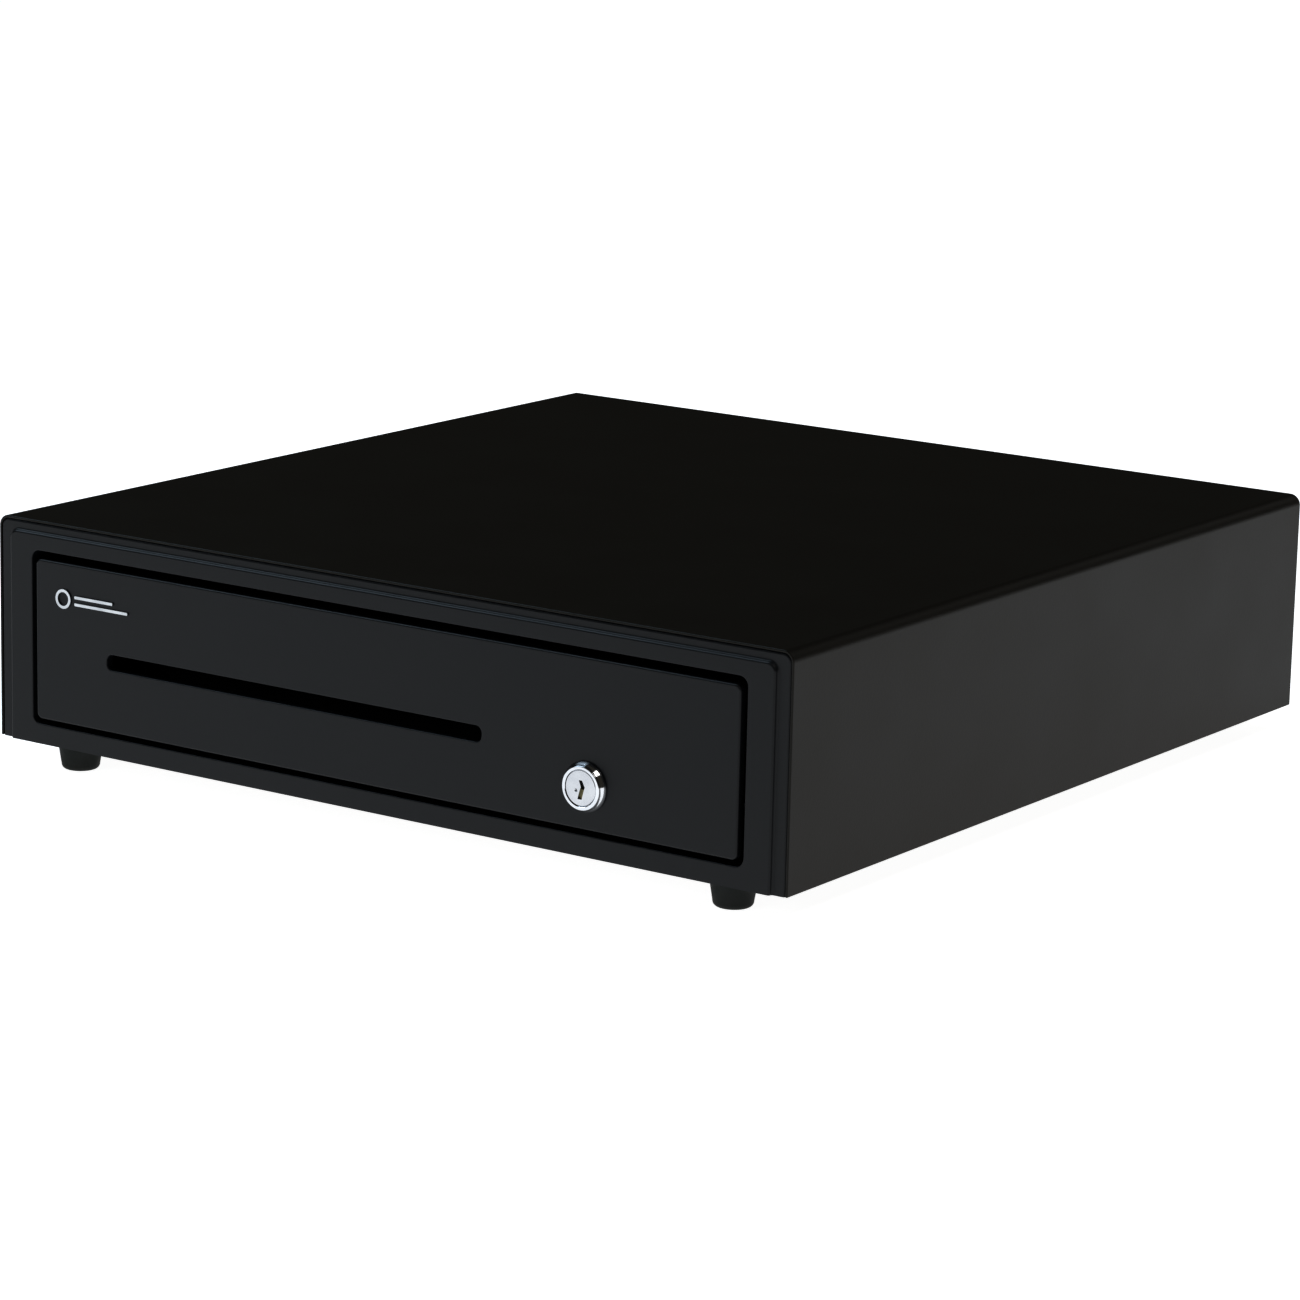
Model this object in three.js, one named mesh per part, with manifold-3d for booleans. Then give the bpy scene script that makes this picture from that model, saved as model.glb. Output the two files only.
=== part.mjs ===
// Cash drawer: a sheet-steel case with a moulded bezel, and a steel drawer on ball slides.
// The drawer carries a lift-out till with coin cups, note clips and dividers, and a cam lock
// that drops a bolt into the case. A solenoid latch behind the drawer lets it go.
// Millimetres, +Z up, front towards -Y. While building, y = 0 is the bezel's face, z = 0 the
// surface it stands on and x = 0 the middle; the outer group then centres the whole in y.

import * as THREE from "three";
import { mergeVertices } from "three/addons/utils/BufferGeometryUtils.js";
import Module from "manifold-3d";

const wasm = await Module();
wasm.setup();

// ---- Driving dimensions ----

const GAP = 0.3; // left between pieces that touch
const PAST = 1; // how far a cutting tool reaches past what it cuts

const CASE = {
  width: 410,
  depth: 420,
  height: 98,
  sheet: 1.2,
  bend: 5, // outer radius of the cover's two folds
  flange: 18, // height of the base pan's upturned edges
};

const FOOT = {
  height: 12,
  topRadius: 9.8,
  baseRadius: 8.3,
  edge: 2.25,
  edgeSteps: 3,
  x: 171,
  inset: 15, // from the bezel's face, and from the rear panel
};

const BEZEL = {
  depth: 4.7, // of the frame, in front of the base pan
  step: 1.2, // how far the flat face stands in front of its rim
  rimSide: 6.7,
  rimTop: 4.8,
  rimEdge: 1.5,
  faceCorner: 4,
  openingHalf: 185,
  openingLow: 8.9, // above the underside of the case
  openingHigh: 85.2,
  openingCorner: 4,
  collarWall: 2.5,
  collarDepth: 16,
  lipWall: 2.4,
  lipDepth: 12,
  lipCorner: 1,
  flangeGap: 2, // from the lip back to the base pan's flanges
};

const FRONT = {
  half: 182.3,
  low: 11.35, // above the underside of the case
  high: 81.7,
  proud: 0.5,
  thickness: 3.7,
  corner: 2.75,
  edge: 0.8,
};

const SLOT = { x0: -142.2, x1: 57.5, low: 38.7, high: 45.5, corner: 3, traySpare: 1 };

const BADGE = { x0: -170.5, x1: -130, low: 62, high: 70.5, thickness: 0.4, corner: 1.5 };

const TRAY = {
  half: 175.8,
  front: 3.5,
  rear: 372,
  low: 11, // above the underside of the case
  sheet: 1,
  sideHeight: 53,
  frontHeight: 65,
};

const SLIDE = {
  z: 55,
  height: 35,
  sheet: 1.2,
  webX: 191.3, // outer face of the member fixed to the case
  mouthX: 179,
  lip: 3.2,
  lipSheet: 1,
  innerHeight: 23.4,
  innerX: 176.1,
  innerDepth: 7.4,
  length: 382,
  outerFront: 18,
  innerFront: 8,
};

const CAGE = { front: 160, length: 90, sheet: 0.8, x0: 180.6, x1: 188, ball: 1.9, ballX: 182.6, balls: 3 };

const BRACKET = { sheet: 1.5, footWidth: 10.2, top: 76 };

const TILL = {
  half: 170,
  front: 34,
  rear: 366,
  low: 34,
  height: 52,
  wall: 2,
  corner: 6,
  insideCorner: 1,
  crossWall: 129, // front face of the wall between coins and notes
  rim: 2.5,
  bays: 5,
};

const TILL_RAIL = { sheet: 1.2, width: 13, inset: 6 };

const CUP = { wall: 1.6, height: 45.5, scoop: 20, clearance: 0.4 };

const DIVIDER = { thickness: 2, height: 42.7, slope: 30 };

const CLIP = {
  y: 352,
  z: 83,
  rodRadius: 1.6,
  boreRadius: 1.95,
  barrelRadius: 3.2,
  barrelWidth: 16,
  armWidth: 12,
  sheet: 1.6,
  // The arm's run from its barrel to the turned-up toe, in (y, z).
  arm: [
    [262, 43],
    [252.5, 38.3],
    [246.5, 42],
  ],
};

const LOCK = {
  x: 109.5,
  z: 29.2, // above the underside of the case
  ringRadius: 9.1, // at its face; it flares out towards the drawer front
  flareRadius: 10.5,
  flareDepth: 3,
  protrusion: 3.6,
  ringEdge: 0.4,
  seat: 2.8, // depth of the recess that the plug's head turns in
  seatRadius: 7.6,
  headRadius: 7.45,
  headInset: 0.2, // how far the head sits behind the ring's face
  barrelRadius: 7.8,
  barrelEnd: 17.5,
  boreRadius: 5.6,
  plugRadius: 5.45,
  tailRadius: 3,
  tailEnd: 20.6,
  holeRadius: 8.2,
  keyWidth: 1.8,
  keyHeight: 8,
  keyDepth: 9,
  nutAcrossFlats: 20,
  nutThickness: 3,
};

const CAM = { front: 18.3, thickness: 2, hub: 6.5, reach: 8, tip: 3.4, pin: 1.5, pinEnd: 23.4 };

const BOLT = {
  front: 21,
  thickness: 2,
  yokeHalf: 10,
  yokeCentre: 106.5,
  yokeLow: 33,
  yokeHigh: 47,
  stemHalf: 4,
  stemLow: 23.6,
  slotX0: 99.5,
  slotX1: 111.5,
  slotLow: 37.6,
  slotHigh: 43.2,
  clearance: 0.7, // round the stem where it passes through the drawer's floor
};

const KEEPER = { half: 9.5, front: 19, sheet: 1.5, rear: 32, top: 20.5 };

const LATCH = {
  pivotY: 408,
  pivotZ: 62,
  armHalf: 3,
  armFront: 381,
  armThickness: 4,
  finger: 3,
  fingerLow: 53.5,
  barrel: 4.2,
  pin: 1.9,
  pinHole: 2.3,
  pinHalf: 11,
  earX: 7.5,
  earFront: 402,
  earLow: 56,
  earHigh: 68,
  plateHalf: 20,
  plateY: 414,
  plateTop: 104,
  footFront: 400,
  sheet: 1.5,
};

const STRIKE = {
  half: 9,
  sheet: 1.5,
  rear: 391,
  top: 52,
  tabLow: 40,
  windowHalf: 5,
  windowFront: 377,
  windowRear: 387,
};

const SOLENOID = {
  y: 392,
  half: 12,
  front: 380,
  low: 70,
  high: 100,
  sheet: 1.5,
  winding: 9.5,
  bobbin: 11,
  bobbinWall: 1.5,
  bore: 4.5,
  plunger: 4,
  neck: 1.2,
  neckLow: 64.5,
  neckHigh: 68,
  plungerTop: 96,
};

const EJECTOR = {
  x: 60,
  z: 50,
  half: 12,
  plateY: 412,
  footFront: 395,
  sheet: 1.5,
  top: 62,
  pin: 3,
  pinFront: 390,
  coilRadius: 6,
  wire: 0.8,
  turns: 6,
  front: 373.5,
  rear: 410.8,
};

const LATCH_SPRING = { y: 396, coilRadius: 2.6, wire: 0.5, turns: 7, low: 16, high: 57 };

const SWITCH = {
  x0: 104,
  x1: 124,
  front: 392,
  rear: 402,
  low: 28,
  high: 38,
  postHalf: 4,
  pivotX: 123,
  pivotY: 390.6,
  tipX: 104,
  tipY: 374,
  blade: 0.8,
  bladeLow: 30,
  bladeHigh: 36,
};

const JACK = {
  x: -120,
  z: 43,
  width: 15,
  height: 14,
  front: 402,
  recess: 0.4,
  mouthWidth: 10,
  mouthHeight: 7,
  mouthDepth: 13,
  notchWidth: 3,
  notchHeight: 2,
};

// The cable's run from the socket down to the case's floor and up to the coil, in (x, y, z).
const CABLE = {
  radius: 2,
  steps: 44,
  sides: 8,
  route: [
    [-120, 401.4, 43],
    [-120, 398.4, 43],
    [-119, 393.4, 39],
    [-114, 390.4, 28],
    [-98, 389.4, 17],
    [-70, 389.4, 16.5],
    [-40, 390.4, 17],
    [-26, 391.4, 25.5],
    [-19, 391.4, 47.5],
    [-19, 391.4, 70],
    [-17, 392, 83],
    [-10.8, 392, 85],
  ],
};

const SCREW = {
  x: 190,
  low: 20,
  high: 101,
  head: 3.8,
  shoulder: 3.42, // radius and height where the domed head turns in
  shoulderHeight: 1.2,
  flat: 2.09,
  dome: 2,
  shank: 1.7,
  hole: 2.1,
  holeDepth: 5,
  end: 413,
};

// ---- Places worked out from them ----

const HALF = CASE.width / 2;
const BASE = FOOT.height; // underside of the case
const TOP = BASE + CASE.height;
const COVER_FRONT = BEZEL.step + GAP; // the cover's cut edge lies level with the bezel's rim
const INNER_X = HALF - CASE.sheet;
const FLOOR = BASE + CASE.sheet; // top of the base pan's plate
const STAND = FLOOR + GAP; // brackets start here
const LOCK_Z = BASE + LOCK.z;
const FRONT_FACE = -FRONT.proud;
const TRAY_FLOOR = BASE + TRAY.low;
const FOREMOST = FRONT_FACE - LOCK.protrusion;
const REARMOST = CASE.depth + GAP + SCREW.dome;
const BAY = (2 * (TILL.half - TILL.wall)) / TILL.bays;

// ---- Shapes ----

function toSolid(geometry) {
  const bare = geometry.clone();
  bare.deleteAttribute("normal");
  bare.deleteAttribute("uv");
  const merged = mergeVertices(bare, 1e-3);
  return new wasm.Manifold(
    new wasm.Mesh({
      numProp: 3,
      vertProperties: new Float32Array(merged.attributes.position.array),
      triVerts: new Uint32Array(merged.index.array),
    }),
  );
}

function toGeometry(solid) {
  const mesh = solid.getMesh();
  const geometry = new THREE.BufferGeometry();
  geometry.setAttribute("position", new THREE.BufferAttribute(mesh.vertProperties, 3));
  geometry.setIndex(new THREE.BufferAttribute(mesh.triVerts, 1));
  geometry.computeVertexNormals();
  return geometry;
}

function join(...geometries) {
  return toGeometry(geometries.map(toSolid).reduce((sum, next) => sum.add(next)));
}

function cut(geometry, ...tools) {
  return toGeometry(tools.map(toSolid).reduce((rest, tool) => rest.subtract(tool), toSolid(geometry)));
}

function keep(geometry, region) {
  return toGeometry(toSolid(geometry).intersect(toSolid(region)));
}

function block(x0, x1, y0, y1, z0, z1) {
  const geometry = new THREE.BoxGeometry(x1 - x0, y1 - y0, z1 - z0);
  return geometry.translate((x0 + x1) / 2, (y0 + y1) / 2, (z0 + z1) / 2);
}

const ARC_STEPS = 5; // straight edges to a quarter circle

function quarterArc(u, v, radius, start) {
  if (radius === 0) return [[u, v]];
  return Array.from({ length: ARC_STEPS + 1 }, (unused, i) => {
    const angle = start + (i * Math.PI) / (2 * ARC_STEPS);
    return [u + radius * Math.cos(angle), v + radius * Math.sin(angle)];
  });
}

// A rectangle from (u0, v0) to (u1, v1) with its two low and two high corners rounded.
function roundedRectangle(u0, u1, v0, v1, low, high = low) {
  return outline([
    ...quarterArc(u0 + low, v0 + low, low, Math.PI),
    ...quarterArc(u1 - low, v0 + low, low, -Math.PI / 2),
    ...quarterArc(u1 - high, v1 - high, high, 0),
    ...quarterArc(u0 + high, v1 - high, high, Math.PI / 2),
  ]);
}

function outline(points) {
  return new THREE.Shape(points.map(([u, v]) => new THREE.Vector2(u, v)));
}

// The outline of a bent strip of one thickness, centred on a run of points.
function strip(points, thickness) {
  const at = points.map(([u, v]) => new THREE.Vector2(u, v));
  const sides = at.map((point, i) => {
    const before = at[Math.max(i - 1, 0)];
    const after = at[Math.min(i + 1, at.length - 1)];
    const along = after.clone().sub(before).normalize();
    const normal = new THREE.Vector2(-along.y, along.x).multiplyScalar(thickness / 2);
    return [point.clone().add(normal), point.clone().sub(normal)];
  });
  return new THREE.Shape([...sides.map((side) => side[0]), ...sides.map((side) => side[1]).reverse()]);
}

const PLAIN = { bevelEnabled: false };

// Extrusions of an outline drawn in (y, z), (x, z) and (x, y).
function alongX(shape, x0, x1) {
  const turn = new THREE.Matrix4().set(0, 0, 1, x0, 1, 0, 0, 0, 0, 1, 0, 0, 0, 0, 0, 1);
  return new THREE.ExtrudeGeometry(shape, { ...PLAIN, depth: x1 - x0 }).applyMatrix4(turn);
}

function alongY(shape, y0, y1, options = {}) {
  const geometry = new THREE.ExtrudeGeometry(shape, { ...PLAIN, depth: y1 - y0, ...options });
  return geometry.rotateX(Math.PI / 2).translate(0, y1, 0);
}

function alongZ(shape, z0, z1) {
  return new THREE.ExtrudeGeometry(shape, { ...PLAIN, depth: z1 - z0 }).translate(0, 0, z0);
}

// An extrusion along y whose front edge is rounded by the given radius.
function roundedFront(shape, y0, y1, radius) {
  const options = {
    bevelEnabled: true,
    bevelThickness: radius,
    bevelSize: radius,
    bevelOffset: -radius,
    bevelSegments: 3,
  };
  const past = 2 * radius;
  const whole = alongY(shape, y0 + radius, y1 + past, options);
  return keep(whole, block(-CASE.width, CASE.width, y0 - past, y1, -CASE.width, CASE.width));
}

// Turned pieces: the profile is [radius, place along the axis] from low to high.
function turned(profile, segments = 24) {
  return new THREE.LatheGeometry(outline(profile).getPoints().slice(0, profile.length), segments);
}

function turnedAboutY(profile, x, z, segments) {
  return turned(profile, segments).translate(x, 0, z);
}

function turnedAboutZ(profile, x, y, segments) {
  return turned(profile, segments).rotateX(Math.PI / 2).translate(x, y, 0);
}

function pinX(radius, x0, x1, y, z, segments = 16) {
  const pin = new THREE.CylinderGeometry(radius, radius, x1 - x0, segments);
  return pin.rotateZ(Math.PI / 2).translate((x0 + x1) / 2, y, z);
}

function pinY(radius, y0, y1, x, z, segments = 16) {
  return new THREE.CylinderGeometry(radius, radius, y1 - y0, segments).translate(x, (y0 + y1) / 2, z);
}

function pinZ(radius, z0, z1, x, y, segments = 16) {
  const pin = new THREE.CylinderGeometry(radius, radius, z1 - z0, segments);
  return pin.rotateX(Math.PI / 2).translate(x, y, (z0 + z1) / 2);
}

function tube(points, radius, steps, sides) {
  const path = new THREE.CatmullRomCurve3(points.map((point) => new THREE.Vector3(...point)));
  const section = new THREE.Shape();
  section.absarc(0, 0, radius, 0, 2 * Math.PI, false);
  return new THREE.ExtrudeGeometry(section, {
    steps,
    curveSegments: sides / 2,
    bevelEnabled: false,
    extrudePath: path,
  });
}

const COIL_STEPS = 10; // straight lengths to each turn of a spring
const WIRE_SIDES = 6;

// Points of a coil about the z axis, from low to high.
function coil(radius, low, high, turns) {
  const count = turns * COIL_STEPS;
  return Array.from({ length: count + 1 }, (unused, i) => {
    const angle = (2 * Math.PI * i) / COIL_STEPS;
    return [radius * Math.cos(angle), radius * Math.sin(angle), low + ((high - low) * i) / count];
  });
}

// ---- Finishes and placing ----

const FINISHES = {
  caseSteel: { color: 0x17181a, roughness: 0.55, metalness: 0 },
  blackPlastic: { color: 0x1d1e20, roughness: 0.5, metalness: 0 },
  rubber: { color: 0x101010, roughness: 0.9, metalness: 0 },
  zincSteel: { color: 0xa9adb0, roughness: 0.4, metalness: 1 },
  chrome: { color: 0xd6d8da, roughness: 0.12, metalness: 1 },
  brass: { color: 0xb08d57, roughness: 0.35, metalness: 1 },
  silverPlate: { color: 0xc4c7ca, roughness: 0.3, metalness: 1 },
  copper: { color: 0xb87333, roughness: 0.35, metalness: 1 },
  greyPlastic: { color: 0x3a3c3f, roughness: 0.55, metalness: 0 },
};

const part = new THREE.Group();

function add(name, geometry, finish, { y = 0, turn = 0 } = {}) {
  const mesh = new THREE.Mesh(geometry, new THREE.MeshStandardMaterial(FINISHES[finish]));
  mesh.name = name;
  mesh.position.y = y;
  mesh.rotation.z = turn;
  part.add(mesh);
}

// A piece built for the right side, even from front to back, and its left copy turned about z.
function addPair(name, geometry, finish, middle) {
  add(name + "_right", geometry, finish, { y: middle });
  add(name + "_left", geometry.clone(), finish, { y: middle, turn: Math.PI });
}

// ---- Case ----

function coverSheet() {
  const inner = CASE.bend - CASE.sheet;
  const cx = HALF - CASE.bend;
  const cz = TOP - CASE.bend;
  const quarter = Math.PI / 2;
  const sheet = outline([
    [HALF, BASE],
    ...quarterArc(cx, cz, CASE.bend, 0),
    ...quarterArc(-cx, cz, CASE.bend, quarter),
    [-HALF, BASE],
    [-INNER_X, BASE],
    ...quarterArc(-cx, cz, inner, quarter).reverse(),
    ...quarterArc(cx, cz, inner, 0).reverse(),
    [INNER_X, BASE],
  ]);
  return alongY(sheet, COVER_FRONT, CASE.depth);
}

function screwHoles(y0, y1, heights) {
  return [-SCREW.x, SCREW.x].flatMap((x) => heights.map((z) => pinY(SCREW.hole, y0, y1, x, z, 12)));
}

function basePan() {
  const edge = INNER_X - GAP;
  const rear = CASE.depth - CASE.sheet - GAP;
  const front = BEZEL.depth + GAP;
  const flangeFront = BEZEL.lipDepth + BEZEL.flangeGap;
  const high = BASE + CASE.flange;
  const pan = join(
    block(-edge, edge, front, rear, BASE, FLOOR),
    block(-edge, -edge + CASE.sheet, flangeFront, rear, BASE, high),
    block(edge - CASE.sheet, edge, flangeFront, rear, BASE, high),
    block(-edge, edge, rear - CASE.sheet, rear, BASE, high),
  );
  return cut(pan, ...screwHoles(rear - SCREW.holeDepth, rear + PAST, [SCREW.low]));
}

function rearPanel() {
  const edge = INNER_X - GAP;
  const y0 = CASE.depth - CASE.sheet;
  const halfWidth = JACK.width / 2 + GAP;
  const halfHeight = JACK.height / 2 + GAP;
  const window = block(
    JACK.x - halfWidth,
    JACK.x + halfWidth,
    y0 - PAST,
    CASE.depth + PAST,
    JACK.z - halfHeight,
    JACK.z + halfHeight,
  );
  const top = TOP - CASE.sheet - GAP;
  const sheet = alongY(roundedRectangle(-edge, edge, BASE, top, 0, CASE.bend - CASE.sheet), y0, CASE.depth);
  return cut(sheet, window, ...screwHoles(y0 - PAST, CASE.depth + PAST, [SCREW.low, SCREW.high]));
}

function bezelOpening(grow, corner) {
  const half = BEZEL.openingHalf + grow;
  return roundedRectangle(-half, half, BASE + BEZEL.openingLow - grow, BASE + BEZEL.openingHigh + grow, corner);
}

function frontBezel() {
  const edge = INNER_X - GAP;
  const top = TOP - CASE.sheet - GAP;
  const bend = CASE.bend - CASE.sheet;
  const rim = roundedFront(
    roundedRectangle(-edge, edge, BASE, top, 0, bend),
    BEZEL.step,
    BEZEL.depth,
    BEZEL.rimEdge / 2,
  );
  const faceHalf = HALF - BEZEL.rimSide;
  const face = roundedFront(
    roundedRectangle(-faceHalf, faceHalf, BASE, TOP - BEZEL.rimTop, 0, BEZEL.faceCorner),
    0,
    BEZEL.step + PAST,
    BEZEL.step,
  );
  const collar = alongY(
    bezelOpening(BEZEL.collarWall, BEZEL.openingCorner + BEZEL.collarWall),
    BEZEL.depth - PAST,
    BEZEL.collarDepth,
  );
  const lip = cut(
    alongY(
      roundedRectangle(-edge, edge, STAND, top, BEZEL.lipCorner, bend),
      BEZEL.depth - PAST,
      BEZEL.lipDepth,
    ),
    block(
      -edge + BEZEL.lipWall,
      edge - BEZEL.lipWall,
      BEZEL.depth - 2 * PAST,
      BEZEL.lipDepth + PAST,
      STAND + BEZEL.lipWall,
      top - BEZEL.lipWall,
    ),
  );
  const opening = alongY(bezelOpening(0, BEZEL.openingCorner), -PAST, BEZEL.collarDepth + PAST);
  return cut(join(rim, face, collar, lip), opening);
}

function foot(x, y) {
  const edge = FOOT.edge;
  const flat = FOOT.baseRadius - edge;
  const rounding = Array.from({ length: FOOT.edgeSteps + 1 }, (unused, i) => {
    const angle = (i * Math.PI) / (2 * FOOT.edgeSteps);
    return [flat + edge * Math.sin(angle), edge * (1 - Math.cos(angle))];
  });
  const profile = [[0, 0], ...rounding, [FOOT.topRadius, BASE - GAP], [0, BASE - GAP]];
  return turnedAboutZ(profile, x, y, 24);
}

add("cover", coverSheet(), "caseSteel");
add("base_pan", basePan(), "caseSteel");
add("rear_panel", rearPanel(), "caseSteel");
add("front_bezel", frontBezel(), "blackPlastic");
for (const [end, y] of [["front", FOOT.inset], ["rear", CASE.depth - FOOT.inset]]) {
  for (const [side, x] of [["left", -FOOT.x], ["right", FOOT.x]]) {
    add(`foot_${end}_${side}`, foot(x, y), "rubber");
  }
}

function caseScrew(x, z) {
  const seat = CASE.depth + GAP;
  const profile = [
    [0, SCREW.end],
    [SCREW.shank, SCREW.end],
    [SCREW.shank, seat],
    [SCREW.head, seat],
    [SCREW.shoulder, seat + SCREW.shoulderHeight],
    [SCREW.flat, seat + SCREW.dome],
    [0, seat + SCREW.dome],
  ];
  return turnedAboutY(profile, x, z, 12);
}

for (const [level, z] of [["low", SCREW.low], ["high", SCREW.high]]) {
  for (const [side, x] of [["left", -SCREW.x], ["right", SCREW.x]]) {
    add(`case_screw_${level}_${side}`, caseScrew(x, z), "zincSteel");
  }
}

// ---- Slides ----

function slideBracket() {
  const half = SLIDE.length / 2;
  const x0 = SLIDE.webX + GAP;
  return join(
    block(x0, x0 + BRACKET.sheet, -half, half, STAND, BRACKET.top),
    block(x0, x0 + BRACKET.footWidth, -half, half, STAND, STAND + BRACKET.sheet),
  );
}

function slideOuter() {
  const half = SLIDE.length / 2;
  const low = SLIDE.z - SLIDE.height / 2;
  const high = SLIDE.z + SLIDE.height / 2;
  const s = SLIDE.sheet;
  return alongY(
    outline([
      [SLIDE.webX, low],
      [SLIDE.webX, high],
      [SLIDE.mouthX, high],
      [SLIDE.mouthX, high - SLIDE.lip],
      [SLIDE.mouthX + SLIDE.lipSheet, high - SLIDE.lip],
      [SLIDE.mouthX + SLIDE.lipSheet, high - s],
      [SLIDE.webX - s, high - s],
      [SLIDE.webX - s, low + s],
      [SLIDE.mouthX + SLIDE.lipSheet, low + s],
      [SLIDE.mouthX + SLIDE.lipSheet, low + SLIDE.lip],
      [SLIDE.mouthX, low + SLIDE.lip],
      [SLIDE.mouthX, low],
    ]),
    -half,
    half,
  );
}

function channel(x0, x1, webOnLow, halfHeight, sheet, half) {
  const low = SLIDE.z - halfHeight;
  const high = SLIDE.z + halfHeight;
  const web = webOnLow ? [x0, x0 + sheet] : [x1 - sheet, x1];
  return join(
    block(web[0], web[1], -half, half, low, high),
    block(x0, x1, -half, half, high - sheet, high),
    block(x0, x1, -half, half, low, low + sheet),
  );
}

function slideInner() {
  const x1 = SLIDE.innerX + SLIDE.innerDepth;
  return channel(SLIDE.innerX, x1, true, SLIDE.innerHeight / 2, SLIDE.sheet, SLIDE.length / 2);
}

function ballCage() {
  // Ball centres, up and down from the slide's middle.
  const race = (SLIDE.height / 2 - SLIDE.sheet + SLIDE.innerHeight / 2) / 2;
  const half = CAGE.length / 2;
  const spacing = CAGE.length / (CAGE.balls + 1);
  const retainer = channel(CAGE.x0, CAGE.x1, false, race + CAGE.sheet / 2, CAGE.sheet, half);
  const balls = [];
  for (let i = 1; i <= CAGE.balls; i += 1) {
    for (const z of [SLIDE.z - race, SLIDE.z + race]) {
      const ball = new THREE.SphereGeometry(CAGE.ball, 8, 6);
      balls.push(ball.translate(CAGE.ballX, -half + i * spacing, z));
    }
  }
  return join(retainer, ...balls);
}

const OUTER_MIDDLE = SLIDE.outerFront + SLIDE.length / 2;
addPair("slide_bracket", slideBracket(), "zincSteel", OUTER_MIDDLE);
addPair("slide_outer", slideOuter(), "zincSteel", OUTER_MIDDLE);
addPair("slide_inner", slideInner(), "zincSteel", SLIDE.innerFront + SLIDE.length / 2);
addPair("ball_cage", ballCage(), "zincSteel", CAGE.front + CAGE.length / 2);

// ---- Drawer ----

function slotOutline(grow) {
  return roundedRectangle(
    SLOT.x0 - grow,
    SLOT.x1 + grow,
    BASE + SLOT.low - grow,
    BASE + SLOT.high + grow,
    SLOT.corner,
  );
}

function drawerTray() {
  const s = TRAY.sheet;
  const high = TRAY_FLOOR + TRAY.sideHeight;
  const tray = join(
    block(-TRAY.half, TRAY.half, TRAY.front, TRAY.rear, TRAY_FLOOR, TRAY_FLOOR + s),
    block(-TRAY.half, -TRAY.half + s, TRAY.front, TRAY.rear, TRAY_FLOOR, high),
    block(TRAY.half - s, TRAY.half, TRAY.front, TRAY.rear, TRAY_FLOOR, high),
    block(-TRAY.half, TRAY.half, TRAY.rear - s, TRAY.rear, TRAY_FLOOR, high),
    block(-TRAY.half, TRAY.half, TRAY.front, TRAY.front + s, TRAY_FLOOR, TRAY_FLOOR + TRAY.frontHeight),
  );
  const { clearance } = BOLT;
  return cut(
    tray,
    alongY(slotOutline(SLOT.traySpare), TRAY.front - PAST, TRAY.front + TRAY.sheet + PAST),
    pinY(LOCK.holeRadius, TRAY.front - PAST, TRAY.front + TRAY.sheet + PAST, LOCK.x, LOCK_Z, 24),
    block(
      LOCK.x - BOLT.stemHalf - clearance,
      LOCK.x + BOLT.stemHalf + clearance,
      BOLT.front - clearance,
      BOLT.front + BOLT.thickness + clearance,
      TRAY_FLOOR - PAST,
      TRAY_FLOOR + s + PAST,
    ),
  );
}

function drawerFront() {
  const rear = FRONT_FACE + FRONT.thickness;
  const plate = roundedFront(
    roundedRectangle(-FRONT.half, FRONT.half, BASE + FRONT.low, BASE + FRONT.high, FRONT.corner),
    FRONT_FACE,
    rear,
    FRONT.edge,
  );
  return cut(
    plate,
    alongY(slotOutline(0), FRONT_FACE - PAST, rear + PAST),
    pinY(LOCK.holeRadius, FRONT_FACE - PAST, rear + PAST, LOCK.x, LOCK_Z, 24),
  );
}

function frontBadge() {
  const rear = FRONT_FACE - GAP;
  const shape = roundedRectangle(BADGE.x0, BADGE.x1, BASE + BADGE.low, BASE + BADGE.high, BADGE.corner);
  return alongY(shape, rear - BADGE.thickness, rear);
}

function tillRail() {
  const outer = TRAY.half - TRAY.sheet - GAP;
  const top = TILL.low - GAP;
  const { sheet, width } = TILL_RAIL;
  const half = (TILL.rear - TILL.front) / 2 - TILL_RAIL.inset;
  return join(
    block(outer - sheet, outer, -half, half, TRAY_FLOOR + TRAY.sheet + GAP, top),
    block(outer - width, outer, -half, half, top - sheet, top),
  );
}

add("drawer_tray", drawerTray(), "caseSteel");
add("drawer_front", drawerFront(), "blackPlastic");
add("front_badge", frontBadge(), "silverPlate");
addPair("till_rail", tillRail(), "zincSteel", (TILL.front + TILL.rear) / 2);

// ---- Till ----

function tillTray() {
  const high = TILL.low + TILL.height;
  const { half, front, rear, wall, corner, rim } = TILL;
  const inner = half - wall;
  const shell = join(
    alongZ(roundedRectangle(-half, half, front, rear, corner), TILL.low, high),
    alongZ(roundedRectangle(-half - rim, half + rim, front - rim, rear + rim, corner + rim), high - wall, high),
  );
  const coins = alongZ(
    roundedRectangle(-inner, inner, front + wall, TILL.crossWall, TILL.insideCorner),
    TILL.low + wall,
    high + PAST,
  );
  const notes = alongZ(
    roundedRectangle(-inner, inner, TILL.crossWall + wall, rear - wall, TILL.insideCorner),
    TILL.low + wall,
    high + PAST,
  );
  return cut(shell, coins, notes);
}

function coinCup(middle) {
  const half = BAY / 2 - CUP.clearance;
  const y0 = TILL.front + TILL.wall + CUP.clearance;
  const y1 = TILL.crossWall - CUP.clearance;
  const low = TILL.low + TILL.wall + GAP;
  const high = low + CUP.height;
  const inside = roundedRectangle(y0 + CUP.wall, y1 - CUP.wall, low + CUP.wall, high + CUP.scoop, CUP.scoop);
  return cut(
    block(middle - half, middle + half, y0, y1, low, high),
    alongX(inside, middle - half + CUP.wall, middle + half - CUP.wall),
  );
}

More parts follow.
